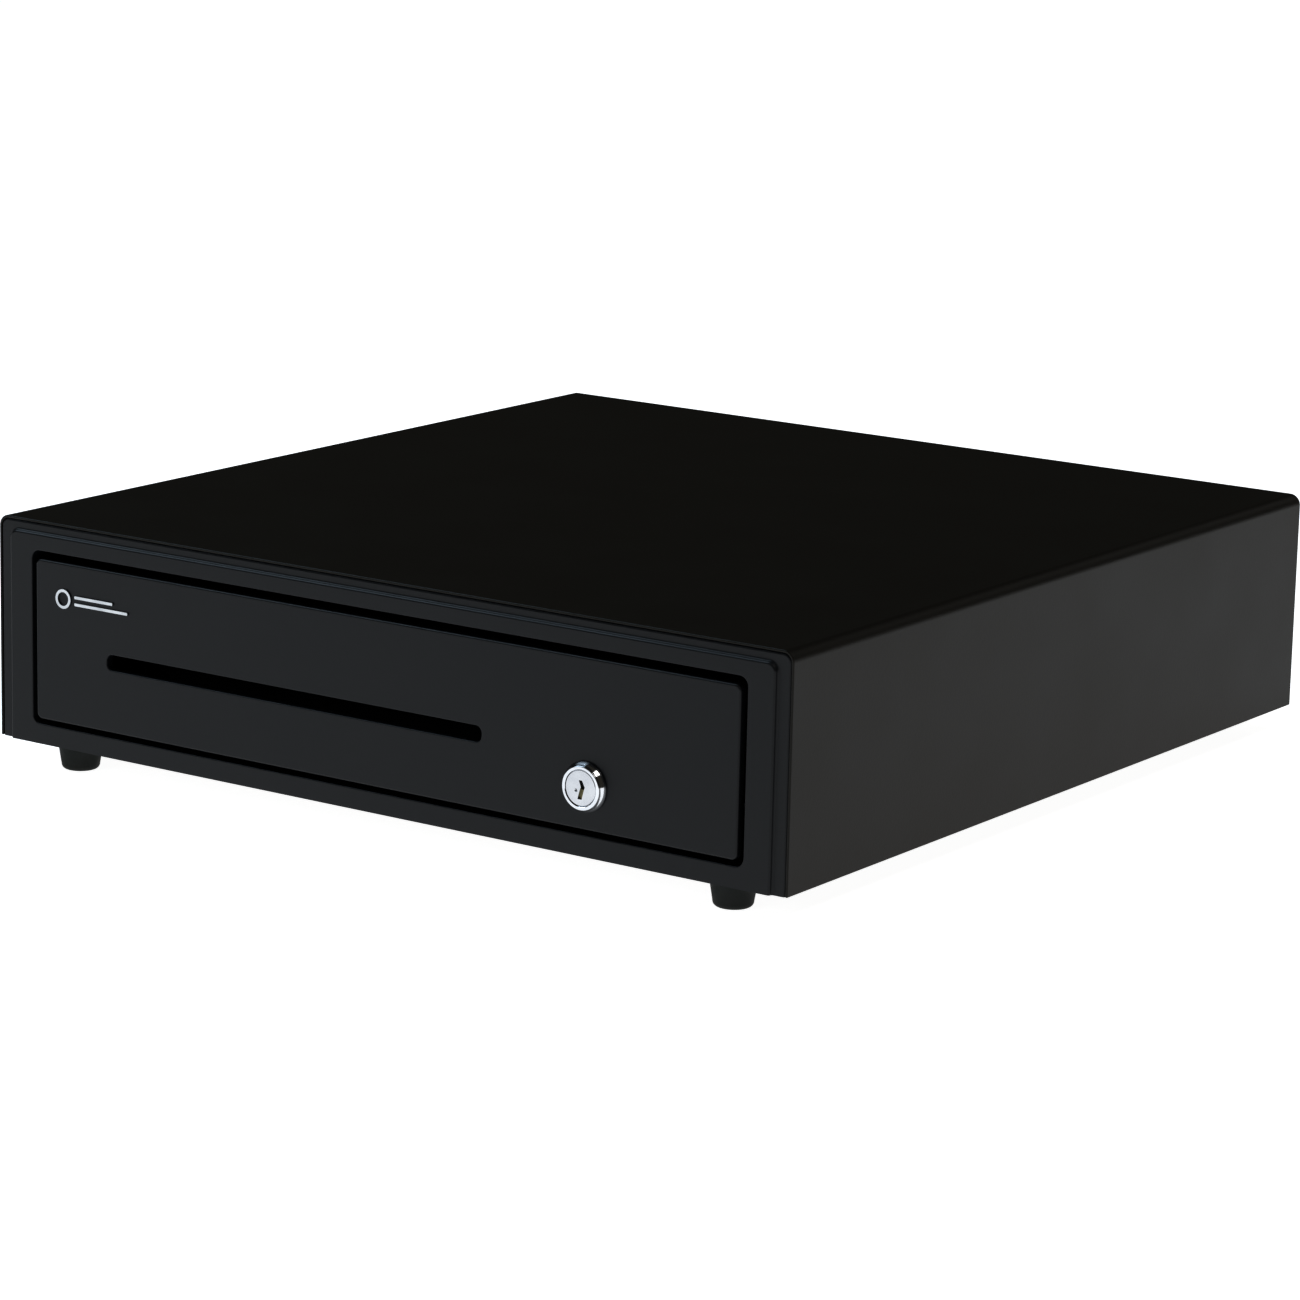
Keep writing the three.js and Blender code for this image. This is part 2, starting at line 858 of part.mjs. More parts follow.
function billDivider(x) {
  const low = TILL.low + TILL.wall + GAP;
  const high = low + DIVIDER.height;
  const y0 = TILL.crossWall + TILL.wall + GAP;
  const y1 = TILL.rear - TILL.wall - GAP;
  const shape = outline([
    [y0, low],
    [y1, low],
    [y1, high],
    [y0 + DIVIDER.slope, high],
    [y0, high - DIVIDER.slope / 2],
  ]);
  return alongX(shape, x - DIVIDER.thickness / 2, x + DIVIDER.thickness / 2);
}

// A note clip: a sprung arm from its barrel on the rod down to a turned-up toe on the till floor.
function billClip(x) {
  const arm = strip([[CLIP.y, CLIP.z], ...CLIP.arm], CLIP.sheet);
  return cut(
    join(
      pinX(CLIP.barrelRadius, x - CLIP.barrelWidth / 2, x + CLIP.barrelWidth / 2, CLIP.y, CLIP.z, 12),
      alongX(arm, x - CLIP.armWidth / 2, x + CLIP.armWidth / 2),
    ),
    pinX(CLIP.boreRadius, x - CLIP.barrelWidth, x + CLIP.barrelWidth, CLIP.y, CLIP.z, 12),
  );
}

const ROD_HALF = TILL.half - TILL.wall - GAP;
add("till_tray", tillTray(), "blackPlastic");
add("clip_rod", pinX(CLIP.rodRadius, -ROD_HALF, ROD_HALF, CLIP.y, CLIP.z, 12), "zincSteel");
for (let bay = 1; bay <= TILL.bays; bay += 1) {
  const middle = (bay - (TILL.bays + 1) / 2) * BAY;
  add(`coin_cup_${bay}`, coinCup(middle), "greyPlastic");
  add(`bill_clip_${bay}`, billClip(middle), "zincSteel");
  if (bay < TILL.bays) add(`bill_divider_${bay}`, billDivider(middle + BAY / 2), "greyPlastic");
}

// ---- Lock ----

function lockBody() {
  const face = FOREMOST;
  const seat = face + LOCK.seat;
  const under = FRONT_FACE - GAP;
  const e = LOCK.ringEdge;
  const profile = [
    [LOCK.seatRadius, face],
    [LOCK.ringRadius - e, face],
    [LOCK.ringRadius, face + e],
    [LOCK.flareRadius, face + LOCK.flareDepth],
    [LOCK.flareRadius, under],
    [LOCK.barrelRadius, under],
    [LOCK.barrelRadius, LOCK.barrelEnd],
    [LOCK.boreRadius, LOCK.barrelEnd],
    [LOCK.boreRadius, seat],
    [LOCK.seatRadius, seat],
    [LOCK.seatRadius, face],
  ];
  return turnedAboutY(profile, LOCK.x, LOCK_Z, 32);
}

function lockPlug() {
  const face = FOREMOST + LOCK.headInset;
  const seat = FOREMOST + LOCK.seat - GAP;
  const step = LOCK.barrelEnd + GAP;
  const profile = [
    [0, face],
    [LOCK.headRadius, face],
    [LOCK.headRadius, seat],
    [LOCK.plugRadius, seat],
    [LOCK.plugRadius, step],
    [LOCK.tailRadius, step],
    [LOCK.tailRadius, LOCK.tailEnd],
    [0, LOCK.tailEnd],
  ];
  const keyway = block(
    LOCK.x - LOCK.keyWidth / 2,
    LOCK.x + LOCK.keyWidth / 2,
    face - PAST,
    face + LOCK.keyDepth,
    LOCK_Z - LOCK.keyHeight / 2,
    LOCK_Z + LOCK.keyHeight / 2,
  );
  return cut(turnedAboutY(profile, LOCK.x, LOCK_Z, 32), keyway);
}

function lockNut() {
  const y0 = TRAY.front + TRAY.sheet + GAP;
  const corner = LOCK.nutAcrossFlats / Math.sqrt(3);
  return cut(
    pinY(corner, y0, y0 + LOCK.nutThickness, LOCK.x, LOCK_Z, 6),
    pinY(LOCK.holeRadius, y0 - PAST, y0 + LOCK.nutThickness + PAST, LOCK.x, LOCK_Z, 24),
  );
}

// The cam's arm points left while unlocked and down when locked; its pin rides in the bolt.
function lockCam() {
  const rear = CAM.front + CAM.thickness;
  const pinAt = LOCK.x - CAM.reach;
  return cut(
    join(
      pinY(CAM.hub, CAM.front, rear, LOCK.x, LOCK_Z, 16),
      block(pinAt, LOCK.x, CAM.front, rear, LOCK_Z - CAM.tip, LOCK_Z + CAM.tip),
      pinY(CAM.tip, CAM.front, rear, pinAt, LOCK_Z, 12),
      pinY(CAM.pin, CAM.front, CAM.pinEnd, pinAt, LOCK_Z, 10),
    ),
    pinY(LOCK.tailRadius + GAP, CAM.front - PAST, rear + PAST, LOCK.x, LOCK_Z, 16),
  );
}

function lockBolt() {
  const rear = BOLT.front + BOLT.thickness;
  return cut(
    join(
      block(
        BOLT.yokeCentre - BOLT.yokeHalf,
        BOLT.yokeCentre + BOLT.yokeHalf,
        BOLT.front,
        rear,
        BOLT.yokeLow,
        BOLT.yokeHigh,
      ),
      block(
        LOCK.x - BOLT.stemHalf,
        LOCK.x + BOLT.stemHalf,
        BOLT.front,
        rear,
        BOLT.stemLow,
        BOLT.yokeLow + PAST,
      ),
    ),
    block(BOLT.slotX0, BOLT.slotX1, BOLT.front - PAST, rear + PAST, BOLT.slotLow, BOLT.slotHigh),
  );
}

function lockKeeper() {
  const x0 = LOCK.x - KEEPER.half;
  const x1 = LOCK.x + KEEPER.half;
  return join(
    block(x0, x1, KEEPER.front, KEEPER.rear, STAND, STAND + KEEPER.sheet),
    block(x0, x1, KEEPER.front, KEEPER.front + KEEPER.sheet, STAND, KEEPER.top),
  );
}

add("lock_body", lockBody(), "chrome");
add("lock_plug", lockPlug(), "chrome");
add("lock_nut", lockNut(), "zincSteel");
add("lock_cam", lockCam(), "zincSteel");
add("lock_bolt", lockBolt(), "zincSteel");
add("lock_keeper", lockKeeper(), "zincSteel");

// ---- Latch and solenoid ----

function strikePlate() {
  const y0 = TRAY.rear + GAP;
  return cut(
    join(
      block(-STRIKE.half, STRIKE.half, y0, y0 + STRIKE.sheet, STRIKE.tabLow, STRIKE.top),
      block(-STRIKE.half, STRIKE.half, y0, STRIKE.rear, STRIKE.top - STRIKE.sheet, STRIKE.top),
    ),
    block(
      -STRIKE.windowHalf,
      STRIKE.windowHalf,
      STRIKE.windowFront,
      STRIKE.windowRear,
      STRIKE.top - STRIKE.sheet - PAST,
      STRIKE.top + PAST,
    ),
  );
}

function latchLever() {
  const low = LATCH.pivotZ - LATCH.armThickness / 2;
  const high = LATCH.pivotZ + LATCH.armThickness / 2;
  const { armHalf, armFront, pivotY, pivotZ } = LATCH;
  return join(
    block(-armHalf, armHalf, armFront, pivotY, low, high),
    block(-armHalf, armHalf, armFront, armFront + LATCH.finger, LATCH.fingerLow, high),
    pinX(LATCH.barrel, -armHalf, armHalf, pivotY, pivotZ, 16),
    pinX(LATCH.pin, -LATCH.pinHalf, LATCH.pinHalf, pivotY, pivotZ, 12),
  );
}

function latchBracket() {
  const s = LATCH.sheet;
  const rear = LATCH.plateY + s;
  const half = LATCH.plateHalf;
  const ears = [-LATCH.earX - s, LATCH.earX].map((x) =>
    block(x, x + s, LATCH.earFront, rear, LATCH.earLow, LATCH.earHigh),
  );
  return cut(
    join(
      block(-half, half, LATCH.plateY, rear, STAND, LATCH.plateTop),
      block(-half, half, LATCH.footFront, rear, STAND, STAND + s),
      ...ears,
    ),
    pinX(LATCH.pinHole, -LATCH.earX - s - PAST, LATCH.earX + s + PAST, LATCH.pivotY, LATCH.pivotZ, 12),
  );
}

function solenoidFrame() {
  const s = SOLENOID.sheet;
  const rear = LATCH.plateY - GAP;
  const { half, front, low, high } = SOLENOID;
  return cut(
    join(
      block(-half, half, front, rear, low, low + s),
      block(-half, half, front, rear, high - s, high),
      block(-half, half, rear - s, rear, low, high),
    ),
    pinZ(SOLENOID.bore, low - PAST, low + s + PAST, 0, SOLENOID.y, 16),
  );
}

function solenoidCoil() {
  const low = SOLENOID.low + SOLENOID.sheet + GAP;
  const high = SOLENOID.high - SOLENOID.sheet - GAP;
  const { bore, bobbin, bobbinWall, winding } = SOLENOID;
  const profile = [
    [bore, low],
    [bobbin, low],
    [bobbin, low + bobbinWall],
    [winding, low + bobbinWall],
    [winding, high - bobbinWall],
    [bobbin, high - bobbinWall],
    [bobbin, high],
    [bore, high],
    [bore, low],
  ];
  return turnedAboutZ(profile, 0, SOLENOID.y, 20);
}

function solenoidPlunger() {
  const { neck, neckLow, neckHigh, plunger, plungerTop } = SOLENOID;
  const profile = [
    [0, neckLow],
    [neck, neckLow],
    [neck, neckHigh],
    [plunger, neckHigh],
    [plunger, plungerTop],
    [0, plungerTop],
  ];
  return turnedAboutZ(profile, 0, SOLENOID.y, 16);
}

function latchSpring() {
  const { coilRadius, low, high, turns, wire, y } = LATCH_SPRING;
  return tube(coil(coilRadius, low, high, turns), wire, turns * COIL_STEPS, WIRE_SIDES).translate(0, y, 0);
}

function ejectBracket() {
  const { x, z, half, plateY, sheet, footFront, top, pin, pinFront } = EJECTOR;
  return join(
    block(x - half, x + half, footFront, plateY + sheet, STAND, STAND + sheet),
    block(x - half, x + half, plateY, plateY + sheet, STAND, top),
    pinY(pin, pinFront, plateY + sheet / 2, x, z, 16),
  );
}

function ejectSpring() {
  const { x, z, coilRadius, front, rear, turns, wire } = EJECTOR;
  const wound = tube(coil(coilRadius, 0, rear - front, turns), wire, turns * COIL_STEPS, WIRE_SIDES);
  return wound.rotateX(-Math.PI / 2).translate(x, front, z);
}

function switchBody() {
  const middle = (SWITCH.x0 + SWITCH.x1) / 2;
  return join(
    block(SWITCH.x0, SWITCH.x1, SWITCH.front, SWITCH.rear, SWITCH.low, SWITCH.high),
    block(
      middle - SWITCH.postHalf,
      middle + SWITCH.postHalf,
      SWITCH.front,
      SWITCH.rear,
      STAND,
      SWITCH.low + PAST,
    ),
  );
}

function switchLever() {
  const blade = strip(
    [
      [SWITCH.pivotX, SWITCH.pivotY],
      [SWITCH.tipX, SWITCH.tipY],
    ],
    SWITCH.blade,
  );
  return alongZ(blade, SWITCH.bladeLow, SWITCH.bladeHigh);
}

add("strike_plate", strikePlate(), "zincSteel");
add("latch_lever", latchLever(), "zincSteel");
add("latch_bracket", latchBracket(), "zincSteel");
add("latch_spring", latchSpring(), "zincSteel");
add("solenoid_frame", solenoidFrame(), "zincSteel");
add("solenoid_coil", solenoidCoil(), "copper");
add("solenoid_plunger", solenoidPlunger(), "zincSteel");
add("eject_bracket", ejectBracket(), "zincSteel");
add("eject_spring", ejectSpring(), "zincSteel");
add("switch_body", switchBody(), "greyPlastic");
add("switch_lever", switchLever(), "zincSteel");

// ---- Release socket in the rear panel and its cable to the solenoid ----

function jackSocket() {
  const halfWidth = JACK.width / 2;
  const halfHeight = JACK.height / 2;
  const rear = CASE.depth - JACK.recess;
  const mouthTop = JACK.z + JACK.mouthHeight / 2;
  return cut(
    block(JACK.x - halfWidth, JACK.x + halfWidth, JACK.front, rear, JACK.z - halfHeight, JACK.z + halfHeight),
    block(
      JACK.x - JACK.mouthWidth / 2,
      JACK.x + JACK.mouthWidth / 2,
      rear - JACK.mouthDepth,
      rear + PAST,
      mouthTop - JACK.mouthHeight,
      mouthTop,
    ),
    block(
      JACK.x - JACK.notchWidth / 2,
      JACK.x + JACK.notchWidth / 2,
      rear - JACK.mouthDepth,
      rear + PAST,
      mouthTop - PAST,
      mouthTop + JACK.notchHeight,
    ),
  );
}

function jackCable() {
  return tube(CABLE.route, CABLE.radius, CABLE.steps, CABLE.sides);
}

add("jack_socket", jackSocket(), "blackPlastic");
add("jack_cable", jackCable(), "blackPlastic");

part.position.y = -(FOREMOST + REARMOST) / 2;

const cashDrawer = new THREE.Group();
cashDrawer.add(part);

export default cashDrawer;
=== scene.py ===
"""Cash drawer: a black steel case with a moulded front, its drawer on ball slides, lock, till and latch."""

import math

import bmesh
import bpy
from mathutils import Matrix, Vector


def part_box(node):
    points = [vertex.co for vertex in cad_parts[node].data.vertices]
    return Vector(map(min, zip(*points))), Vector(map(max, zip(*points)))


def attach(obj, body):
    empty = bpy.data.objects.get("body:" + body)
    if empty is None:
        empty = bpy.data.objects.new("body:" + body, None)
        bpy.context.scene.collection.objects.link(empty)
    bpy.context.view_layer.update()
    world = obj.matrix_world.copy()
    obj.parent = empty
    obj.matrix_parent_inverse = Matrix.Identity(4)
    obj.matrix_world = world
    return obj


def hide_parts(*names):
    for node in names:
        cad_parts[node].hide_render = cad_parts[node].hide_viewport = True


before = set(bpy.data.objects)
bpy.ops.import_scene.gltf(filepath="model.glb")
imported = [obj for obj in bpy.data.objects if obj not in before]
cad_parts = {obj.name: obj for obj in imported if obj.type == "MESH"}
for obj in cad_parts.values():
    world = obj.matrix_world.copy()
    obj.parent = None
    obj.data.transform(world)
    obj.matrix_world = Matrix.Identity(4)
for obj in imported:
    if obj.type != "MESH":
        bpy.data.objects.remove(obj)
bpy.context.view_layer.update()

bl_info = {
    "name": "Cash Drawer",
    "version": (1, 0, 0),
    "blender": (4, 5, 0),
    "location": "3D View > Sidebar > Cash Drawer",
    "description": "Builds a cash drawer around its packed frame, with its finishes and a studio stage",
    "category": "Object",
}

MM = 0.001
CASE_LOW, CASE_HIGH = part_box("cover")
BEZEL_LOW, BEZEL_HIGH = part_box("front_bezel")
FRONT_LOW, FRONT_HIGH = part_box("drawer_front")
LOCK_LOW, LOCK_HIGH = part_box("lock_body")
PLUG_LOW, PLUG_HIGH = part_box("lock_plug")
BADGE_LOW, BADGE_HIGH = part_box("front_badge")


# ---- Settings ----


def length(name, description, default):
    return bpy.props.FloatProperty(
        name=name, description=description, default=default, unit="LENGTH", min=0.0, precision=5
    )


def shade(name, description, default):
    return bpy.props.StringProperty(name=name, description=description, default=default)


def rotation(name, description, degrees):
    return bpy.props.FloatProperty(
        name=name, description=description, default=math.radians(degrees), subtype="ANGLE"
    )


class CaseSettings(bpy.types.PropertyGroup):
    bend: length("Bend radius", "Outer radius of the cover's two folds", 5 * MM)
    sheet: length("Sheet", "Thickness of the case's steel", 1.2 * MM)
    edge: length("Cut edge", "Rounding of the sheet's cut edges", 0.5 * MM)


class BezelSettings(bpy.types.PropertyGroup):
    rim_side: length("Side rim", "Width of the stepped rim at each side", 5.1 * MM)
    rim_top: length("Top rim", "Width of the stepped rim along the top", 3.2 * MM)
    step: length("Step", "How far the face stands in front of the rim", 1.7 * MM)
    rim_edge: length("Rim edge", "Rounding of the rim's outer edge", 1.1 * MM)
    slope: rotation("Slope", "Steepest slope of the moulded step", 80)
    depth: length("Frame depth", "From the face back to the base pan", 4.7 * MM)
    fit: length("Fit", "How far the moulding grows towards the cover that it sits in", 0.27 * MM)
    opening_half: length("Opening half width", "Half the width of the drawer's opening", 185 * MM)
    opening_low: length("Opening bottom", "From the case's underside to the opening's bottom", 8.9 * MM)
    opening_high: length("Opening top", "From the case's underside to the opening's top", 85.2 * MM)
    opening_corner: length("Opening corner", "Corner radius of the opening", 4 * MM)


class FrontSettings(bpy.types.PropertyGroup):
    corner: length("Corner", "Corner radius of the drawer front", 2.75 * MM)
    edge: length("Edge", "Rounding of the drawer front's edge", 0.9 * MM)
    slot_left: length("Slot left", "From the front's left edge to the slot", 40.1 * MM)
    slot_width: length("Slot width", "Length of the document slot", 199.7 * MM)
    slot_low: length("Slot low", "From the front's lower edge to the slot's lower lip", 27.35 * MM)
    slot_height: length("Slot height", "Height of the document slot", 6.8 * MM)
    slot_lip: length("Slot lip", "Rounding of the slot's lips", 0.5 * MM)


class LockSettings(bpy.types.PropertyGroup):
    face: length("Face radius", "Radius of the chrome ring at its face", 9.1 * MM)
    seat: length("Seat radius", "Radius of the recess in which the plug's head turns", 7.6 * MM)
    seat_depth: length("Seat depth", "Depth of that recess", 2.8 * MM)
    head: length("Head radius", "Radius of the plug's head", 7.45 * MM)
    rounding: length("Ring edge", "Rounding of the chrome ring's front edge", 0.45 * MM)
    flare: length("Flare", "How far behind its face the ring reaches its full width", 3 * MM)
    key_depth: length("Keyway depth", "Depth of the keyway", 8 * MM)
    dimple: length("Dimple", "Radius of the drill mark beside the keyway", 0.75 * MM)


class FinishSettings(bpy.types.PropertyGroup):
    steel: shade("Powder coat", "sRGB hex colour of the coated steel", "15130F")
    plastic: shade("ABS", "sRGB hex colour of the moulded front", "111316")
    till: shade("Till", "sRGB hex colour of the till", "1C1D1F")
    cups: shade("Cups", "sRGB hex colour of the coin cups", "3A3C3F")


class StageSettings(bpy.types.PropertyGroup):
    azimuth: rotation("Azimuth", "Turn of the camera about the drawer", 34.756)
    elevation: rotation("Elevation", "Height of the camera", 12.840)
    roll: rotation("Roll", "Tilt of the camera about its view", 1.278)
    distance: length("Distance", "From the camera to the point it looks at", 2.1028)
    lens: bpy.props.FloatProperty(name="Lens", description="Focal length in millimetres", default=129.9)
    floor: length("Floor", "Width of the floor", 24.0)


SETTINGS = {
    "drawer_case": CaseSettings,
    "drawer_bezel": BezelSettings,
    "drawer_front": FrontSettings,
    "drawer_lock": LockSettings,
    "drawer_finish": FinishSettings,
    "drawer_stage": StageSettings,
}

# The point the camera looks at, off the middle of the drawer.
LOOK_AT = Vector((-12.2 * MM, 8.55 * MM, 40.7 * MM))


# ---- Meshes ----


def quarter(steps):
    """Sine and cosine pairs over a quarter turn, for a rounding."""
    return [(math.sin(a), math.cos(a)) for a in (i * math.pi / 2 / steps for i in range(steps + 1))]


def rounded_rectangle(x0, x1, z0, z1, low, high, y, steps=8):
    """A closed run of points in the plane at y, with the low and high corners' radii."""
    corners = [(x0, z0, low, 2), (x1, z0, low, 3), (x1, z1, high, 0), (x0, z1, high, 1)]
    points = []
    for x, z, radius, turn in corners:
        cx = x + radius if x == x0 else x - radius
        cz = z + radius if z == z0 else z - radius
        for i in range(steps + 1):
            angle = (turn + i / steps) * math.pi / 2
            points.append(Vector((cx + radius * math.cos(angle), y, cz + radius * math.sin(angle))))
    return points


def ring(centre, radius, y, steps=64):
    """A circle about the y axis through the centre."""
    return [
        Vector((centre.x + radius * math.cos(a), y, centre.z + radius * math.sin(a)))
        for a in (2 * math.pi * i / steps for i in range(steps))
    ]


def skin(mesh, loops, closed=False):
    """Quads from each loop of points to the next, and back to the first if closed; returns the vertices."""
    rows = [[mesh.verts.new(point) for point in loop] for loop in loops]
    pairs = list(zip(rows, rows[1:] + ([rows[0]] if closed else [])))
    for row, after in pairs:
        count = len(row)
        for i in range(count):
            j = (i + 1) % count
            mesh.faces.new((row[i], row[j], after[j], after[i]))
    return rows


def edges_of(row):
    """The edges of a closed row of vertices."""
    found = []
    for i, vertex in enumerate(row):
        after = row[(i + 1) % len(row)]
        found.append(next(e for e in vertex.link_edges if e.other_vert(vertex) is after))
    return found


def fill(mesh, *rows):
    """A flat face bounded by the first row of vertices, with the other rows as its holes."""
    edges = [edge for row in rows for edge in edges_of(row)]
    bmesh.ops.triangle_fill(mesh, use_beauty=True, use_dissolve=False, edges=edges)


def sweep(mesh, outline, start, end):
    """A closed outline drawn at the start, swept by the vector from start to end and capped."""
    step = Vector(end) - Vector(start)
    rows = skin(mesh, [outline, [point + step for point in outline]])
    mesh.faces.new(rows[0])
    mesh.faces.new(list(reversed(rows[1])))


def turned(mesh, profile, centre, axis="Y", steps=48):
    """Turns (radius, place) pairs about an axis; a profile closes on itself or ends on the axis."""
    loops = []
    for radius, place in profile:
        points = []
        for i in range(steps):
            angle = 2 * math.pi * i / steps
            u, v = radius * math.cos(angle), radius * math.sin(angle)
            if axis == "Y":
                points.append(Vector((centre.x + u, place, centre.z + v)))
            else:
                points.append(Vector((centre.x + u, centre.y + v, place)))
        loops.append(points)
    skin(mesh, loops)


def as_piece(name, mesh, body, material, replaces=(), sharp=35):
    """Makes the mesh a piece that rides on a body, its faces outwards and smooth between sharp edges."""
    bmesh.ops.remove_doubles(mesh, verts=mesh.verts, dist=1e-7)
    bmesh.ops.recalc_face_normals(mesh, faces=mesh.faces)
    data = bpy.data.meshes.new(name)
    mesh.to_mesh(data)
    mesh.free()
    return place_mesh(name, data, body, material, replaces, sharp)


def place_mesh(name, data, body, material, replaces=(), sharp=35):
    """Puts a mesh in the scene as a piece on a body, smooth between sharp edges."""
    data.shade_smooth()
    data.set_sharp_from_angle(angle=math.radians(sharp))
    piece = bpy.data.objects.new(name, data)
    bpy.context.scene.collection.objects.link(piece)
    data.materials.append(material)
    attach(piece, body)
    if replaces:
        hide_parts(*replaces)
    return piece


def soften(piece, width, segments=3, angle=35):
    """Rounds a piece's sharp edges and keeps its flats flat."""
    bevel = piece.modifiers.new("edges", "BEVEL")
    bevel.width = width
    bevel.segments = segments
    bevel.limit_method = "ANGLE"
    bevel.angle_limit = math.radians(angle)
    bevel.use_clamp_overlap = True
    bevel.harden_normals = False
    flatten(piece, False)


def flatten(piece, keep_sharp=True):
    """Keeps large flats evenly shaded between their roundings."""
    flats = piece.modifiers.new("flats", "WEIGHTED_NORMAL")
    flats.keep_sharp = keep_sharp
    flats.weight = 100


def finish_node(name, material, edge, angle=35, segments=2):
    """Gives a carried-over part its material, and rounds its edges with modifiers."""
    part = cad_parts[name]
    data = part.data
    if "custom_normal" in data.attributes:
        data.attributes.remove(data.attributes["custom_normal"])
    data.materials.clear()
    data.materials.append(material)
    data.shade_smooth()
    weld = part.modifiers.new("weld", "WELD")
    weld.merge_threshold = 1e-6
    if edge:
        soften(part, edge, segments, angle)
    return part


def carve(piece, cutters):
    """Cuts the cutters' meshes out of a piece and keeps the result as its mesh."""
    for tool in cutters:
        cut = piece.modifiers.new("cut", "BOOLEAN")
        cut.object = tool
        cut.solver = "EXACT"
    bpy.context.view_layer.update()
    graph = bpy.context.evaluated_depsgraph_get()
    result = bpy.data.meshes.new_from_object(piece.evaluated_get(graph))
    piece.modifiers.clear()
    old = piece.data
    piece.data = result
    bpy.data.meshes.remove(old)
    for tool in cutters:
        bpy.data.objects.remove(tool)


def cutter(mesh):
    """A loose object holding the mesh, to cut with."""
    bmesh.ops.recalc_face_normals(mesh, faces=mesh.faces)
    data = bpy.data.meshes.new("cutter")
    mesh.to_mesh(data)
    mesh.free()
    made = bpy.data.objects.new("cutter", data)
    bpy.context.scene.collection.objects.link(made)
    return made


def wire(name, points, radius, body, material, replaces=()):
    """A round wire through the points."""
    curve = bpy.data.curves.new(name, "CURVE")
    curve.dimensions = "3D"
    curve.bevel_depth = radius
    curve.bevel_resolution = 3
    curve.use_fill_caps = True
    spline = curve.splines.new("POLY")
    spline.points.add(len(points) - 1)
    for spot, point in zip(spline.points, points):
        spot.co = (*point, 1.0)
    spline.use_smooth = True
    loose = bpy.data.objects.new(name, curve)
    bpy.context.scene.collection.objects.link(loose)
    bpy.context.view_layer.update()
    data = bpy.data.meshes.new_from_object(loose.evaluated_get(bpy.context.evaluated_depsgraph_get()))
    bpy.data.objects.remove(loose)
    data.name = name
    return place_mesh(name, data, body, material, replaces)


def helix(centre, axis, radius, low, high, turns, per_turn=24):
    """Points of a coil about an axis through the centre, wound closer at each end."""
    points = []
    count = int(turns * per_turn)
    for i in range(count + 1):
        share = i / count
        angle = 2 * math.pi * turns * share
        along = low + (high - low) * (share * share * (3 - 2 * share))
        u, v = radius * math.cos(angle), radius * math.sin(angle)
        spot = {"X": (along, centre.y + u, centre.z + v), "Y": (centre.x + u, along, centre.z + v)}
        points.append(Vector(spot.get(axis, (centre.x + u, centre.y + v, along))))
    return points


# ---- Finishes ----


def linear(hex_colour):
    """The linear colour of an sRGB hex value."""
    parts = [int(hex_colour[i : i + 2], 16) / 255 for i in (0, 2, 4)]
    return (*[p / 12.92 if p <= 0.04045 else ((p + 0.055) / 1.055) ** 2.4 for p in parts], 1.0)


# Bands of a wave texture to each unit of its scale.
WAVE_PER_UNIT = 20 / (2 * math.pi)

# The middle of a noise texture's range, where most of its values lie.
DRIFT = {"From Min": 0.3, "From Max": 0.7}


def per_metre(size_mm):
    """A texture scale whose features are about this size in millimetres."""
    return 1000.0 / size_mm


def add(tree, kind, settings=None, inputs=None):
    """Adds a node with its settings; each input takes a value or another node's output."""
    node = tree.nodes.new("ShaderNode" + kind)
    for name, value in (settings or {}).items():
        setattr(node, name, value)
    for name, value in (inputs or {}).items():
        if isinstance(value, bpy.types.NodeSocket):
            tree.links.new(value, node.inputs[name])
        else:
            node.inputs[name].default_value = value
    return node


def surface(name, metallic=0.0, roughness=0.5, specular=0.5):
    """An empty material with its shader set, and the place on the surface that its patterns use."""
    material = bpy.data.materials.new(name)
    material.use_nodes = True
    tree = material.node_tree
    shader = tree.nodes["Principled BSDF"]
    shader.inputs["Metallic"].default_value = metallic
    shader.inputs["Roughness"].default_value = roughness
    shader.inputs["Specular IOR Level"].default_value = specular
    place = add(tree, "TexCoord").outputs["Object"]
    return material, tree, shader, place


def blotches(tree, place, shader, colours, size_mm, roughness):
    """Slow drift between two colours and two roughnesses."""
    drift = add(tree, "TexNoise", {}, {"Vector": place, "Scale": per_metre(size_mm), "Detail": 4.0})
    spread = add(tree, "MapRange", {}, {"Value": drift.outputs["Fac"], **DRIFT})
    ends = {6: linear(colours[0]), 7: linear(colours[1])}
    mixed = add(tree, "Mix", {"data_type": "RGBA"}, {0: spread.outputs["Result"], **ends})
    tree.links.new(mixed.outputs[2], shader.inputs["Base Color"])
    limits = {"To Min": roughness[0], "To Max": roughness[1]}
    rough = add(tree, "MapRange", {}, {"Value": drift.outputs["Fac"], **DRIFT, **limits})
    tree.links.new(rough.outputs["Result"], shader.inputs["Roughness"])


def relief(tree, shader, height, depth_mm):
    """Bumps the surface by a height pattern, to a real depth."""
    bump = add(tree, "Bump", {}, {"Height": height, "Distance": depth_mm * MM, "Strength": 1.0})
    tree.links.new(bump.outputs["Normal"], shader.inputs["Normal"])


def powder_coated_steel(name, colour):
    """Polyester powder coat, sprayed and baked: a fine orange peel that softens every reflection."""
    material, tree, shader, place = surface(name, roughness=0.42, specular=0.24)
    blotches(tree, place, shader, (colour, "1A1813"), 40, (0.4, 0.44))
    # Real peel is about 0.4 mm across; 1.1 mm is the finest that shows at arm's length.
    size = {"Scale": per_metre(1.1), "Detail": 3.0, "Roughness": 0.6}
    peel = add(tree, "TexNoise", {}, {"Vector": place, **size})
    relief(tree, shader, peel.outputs["Fac"], 0.035)
    return material


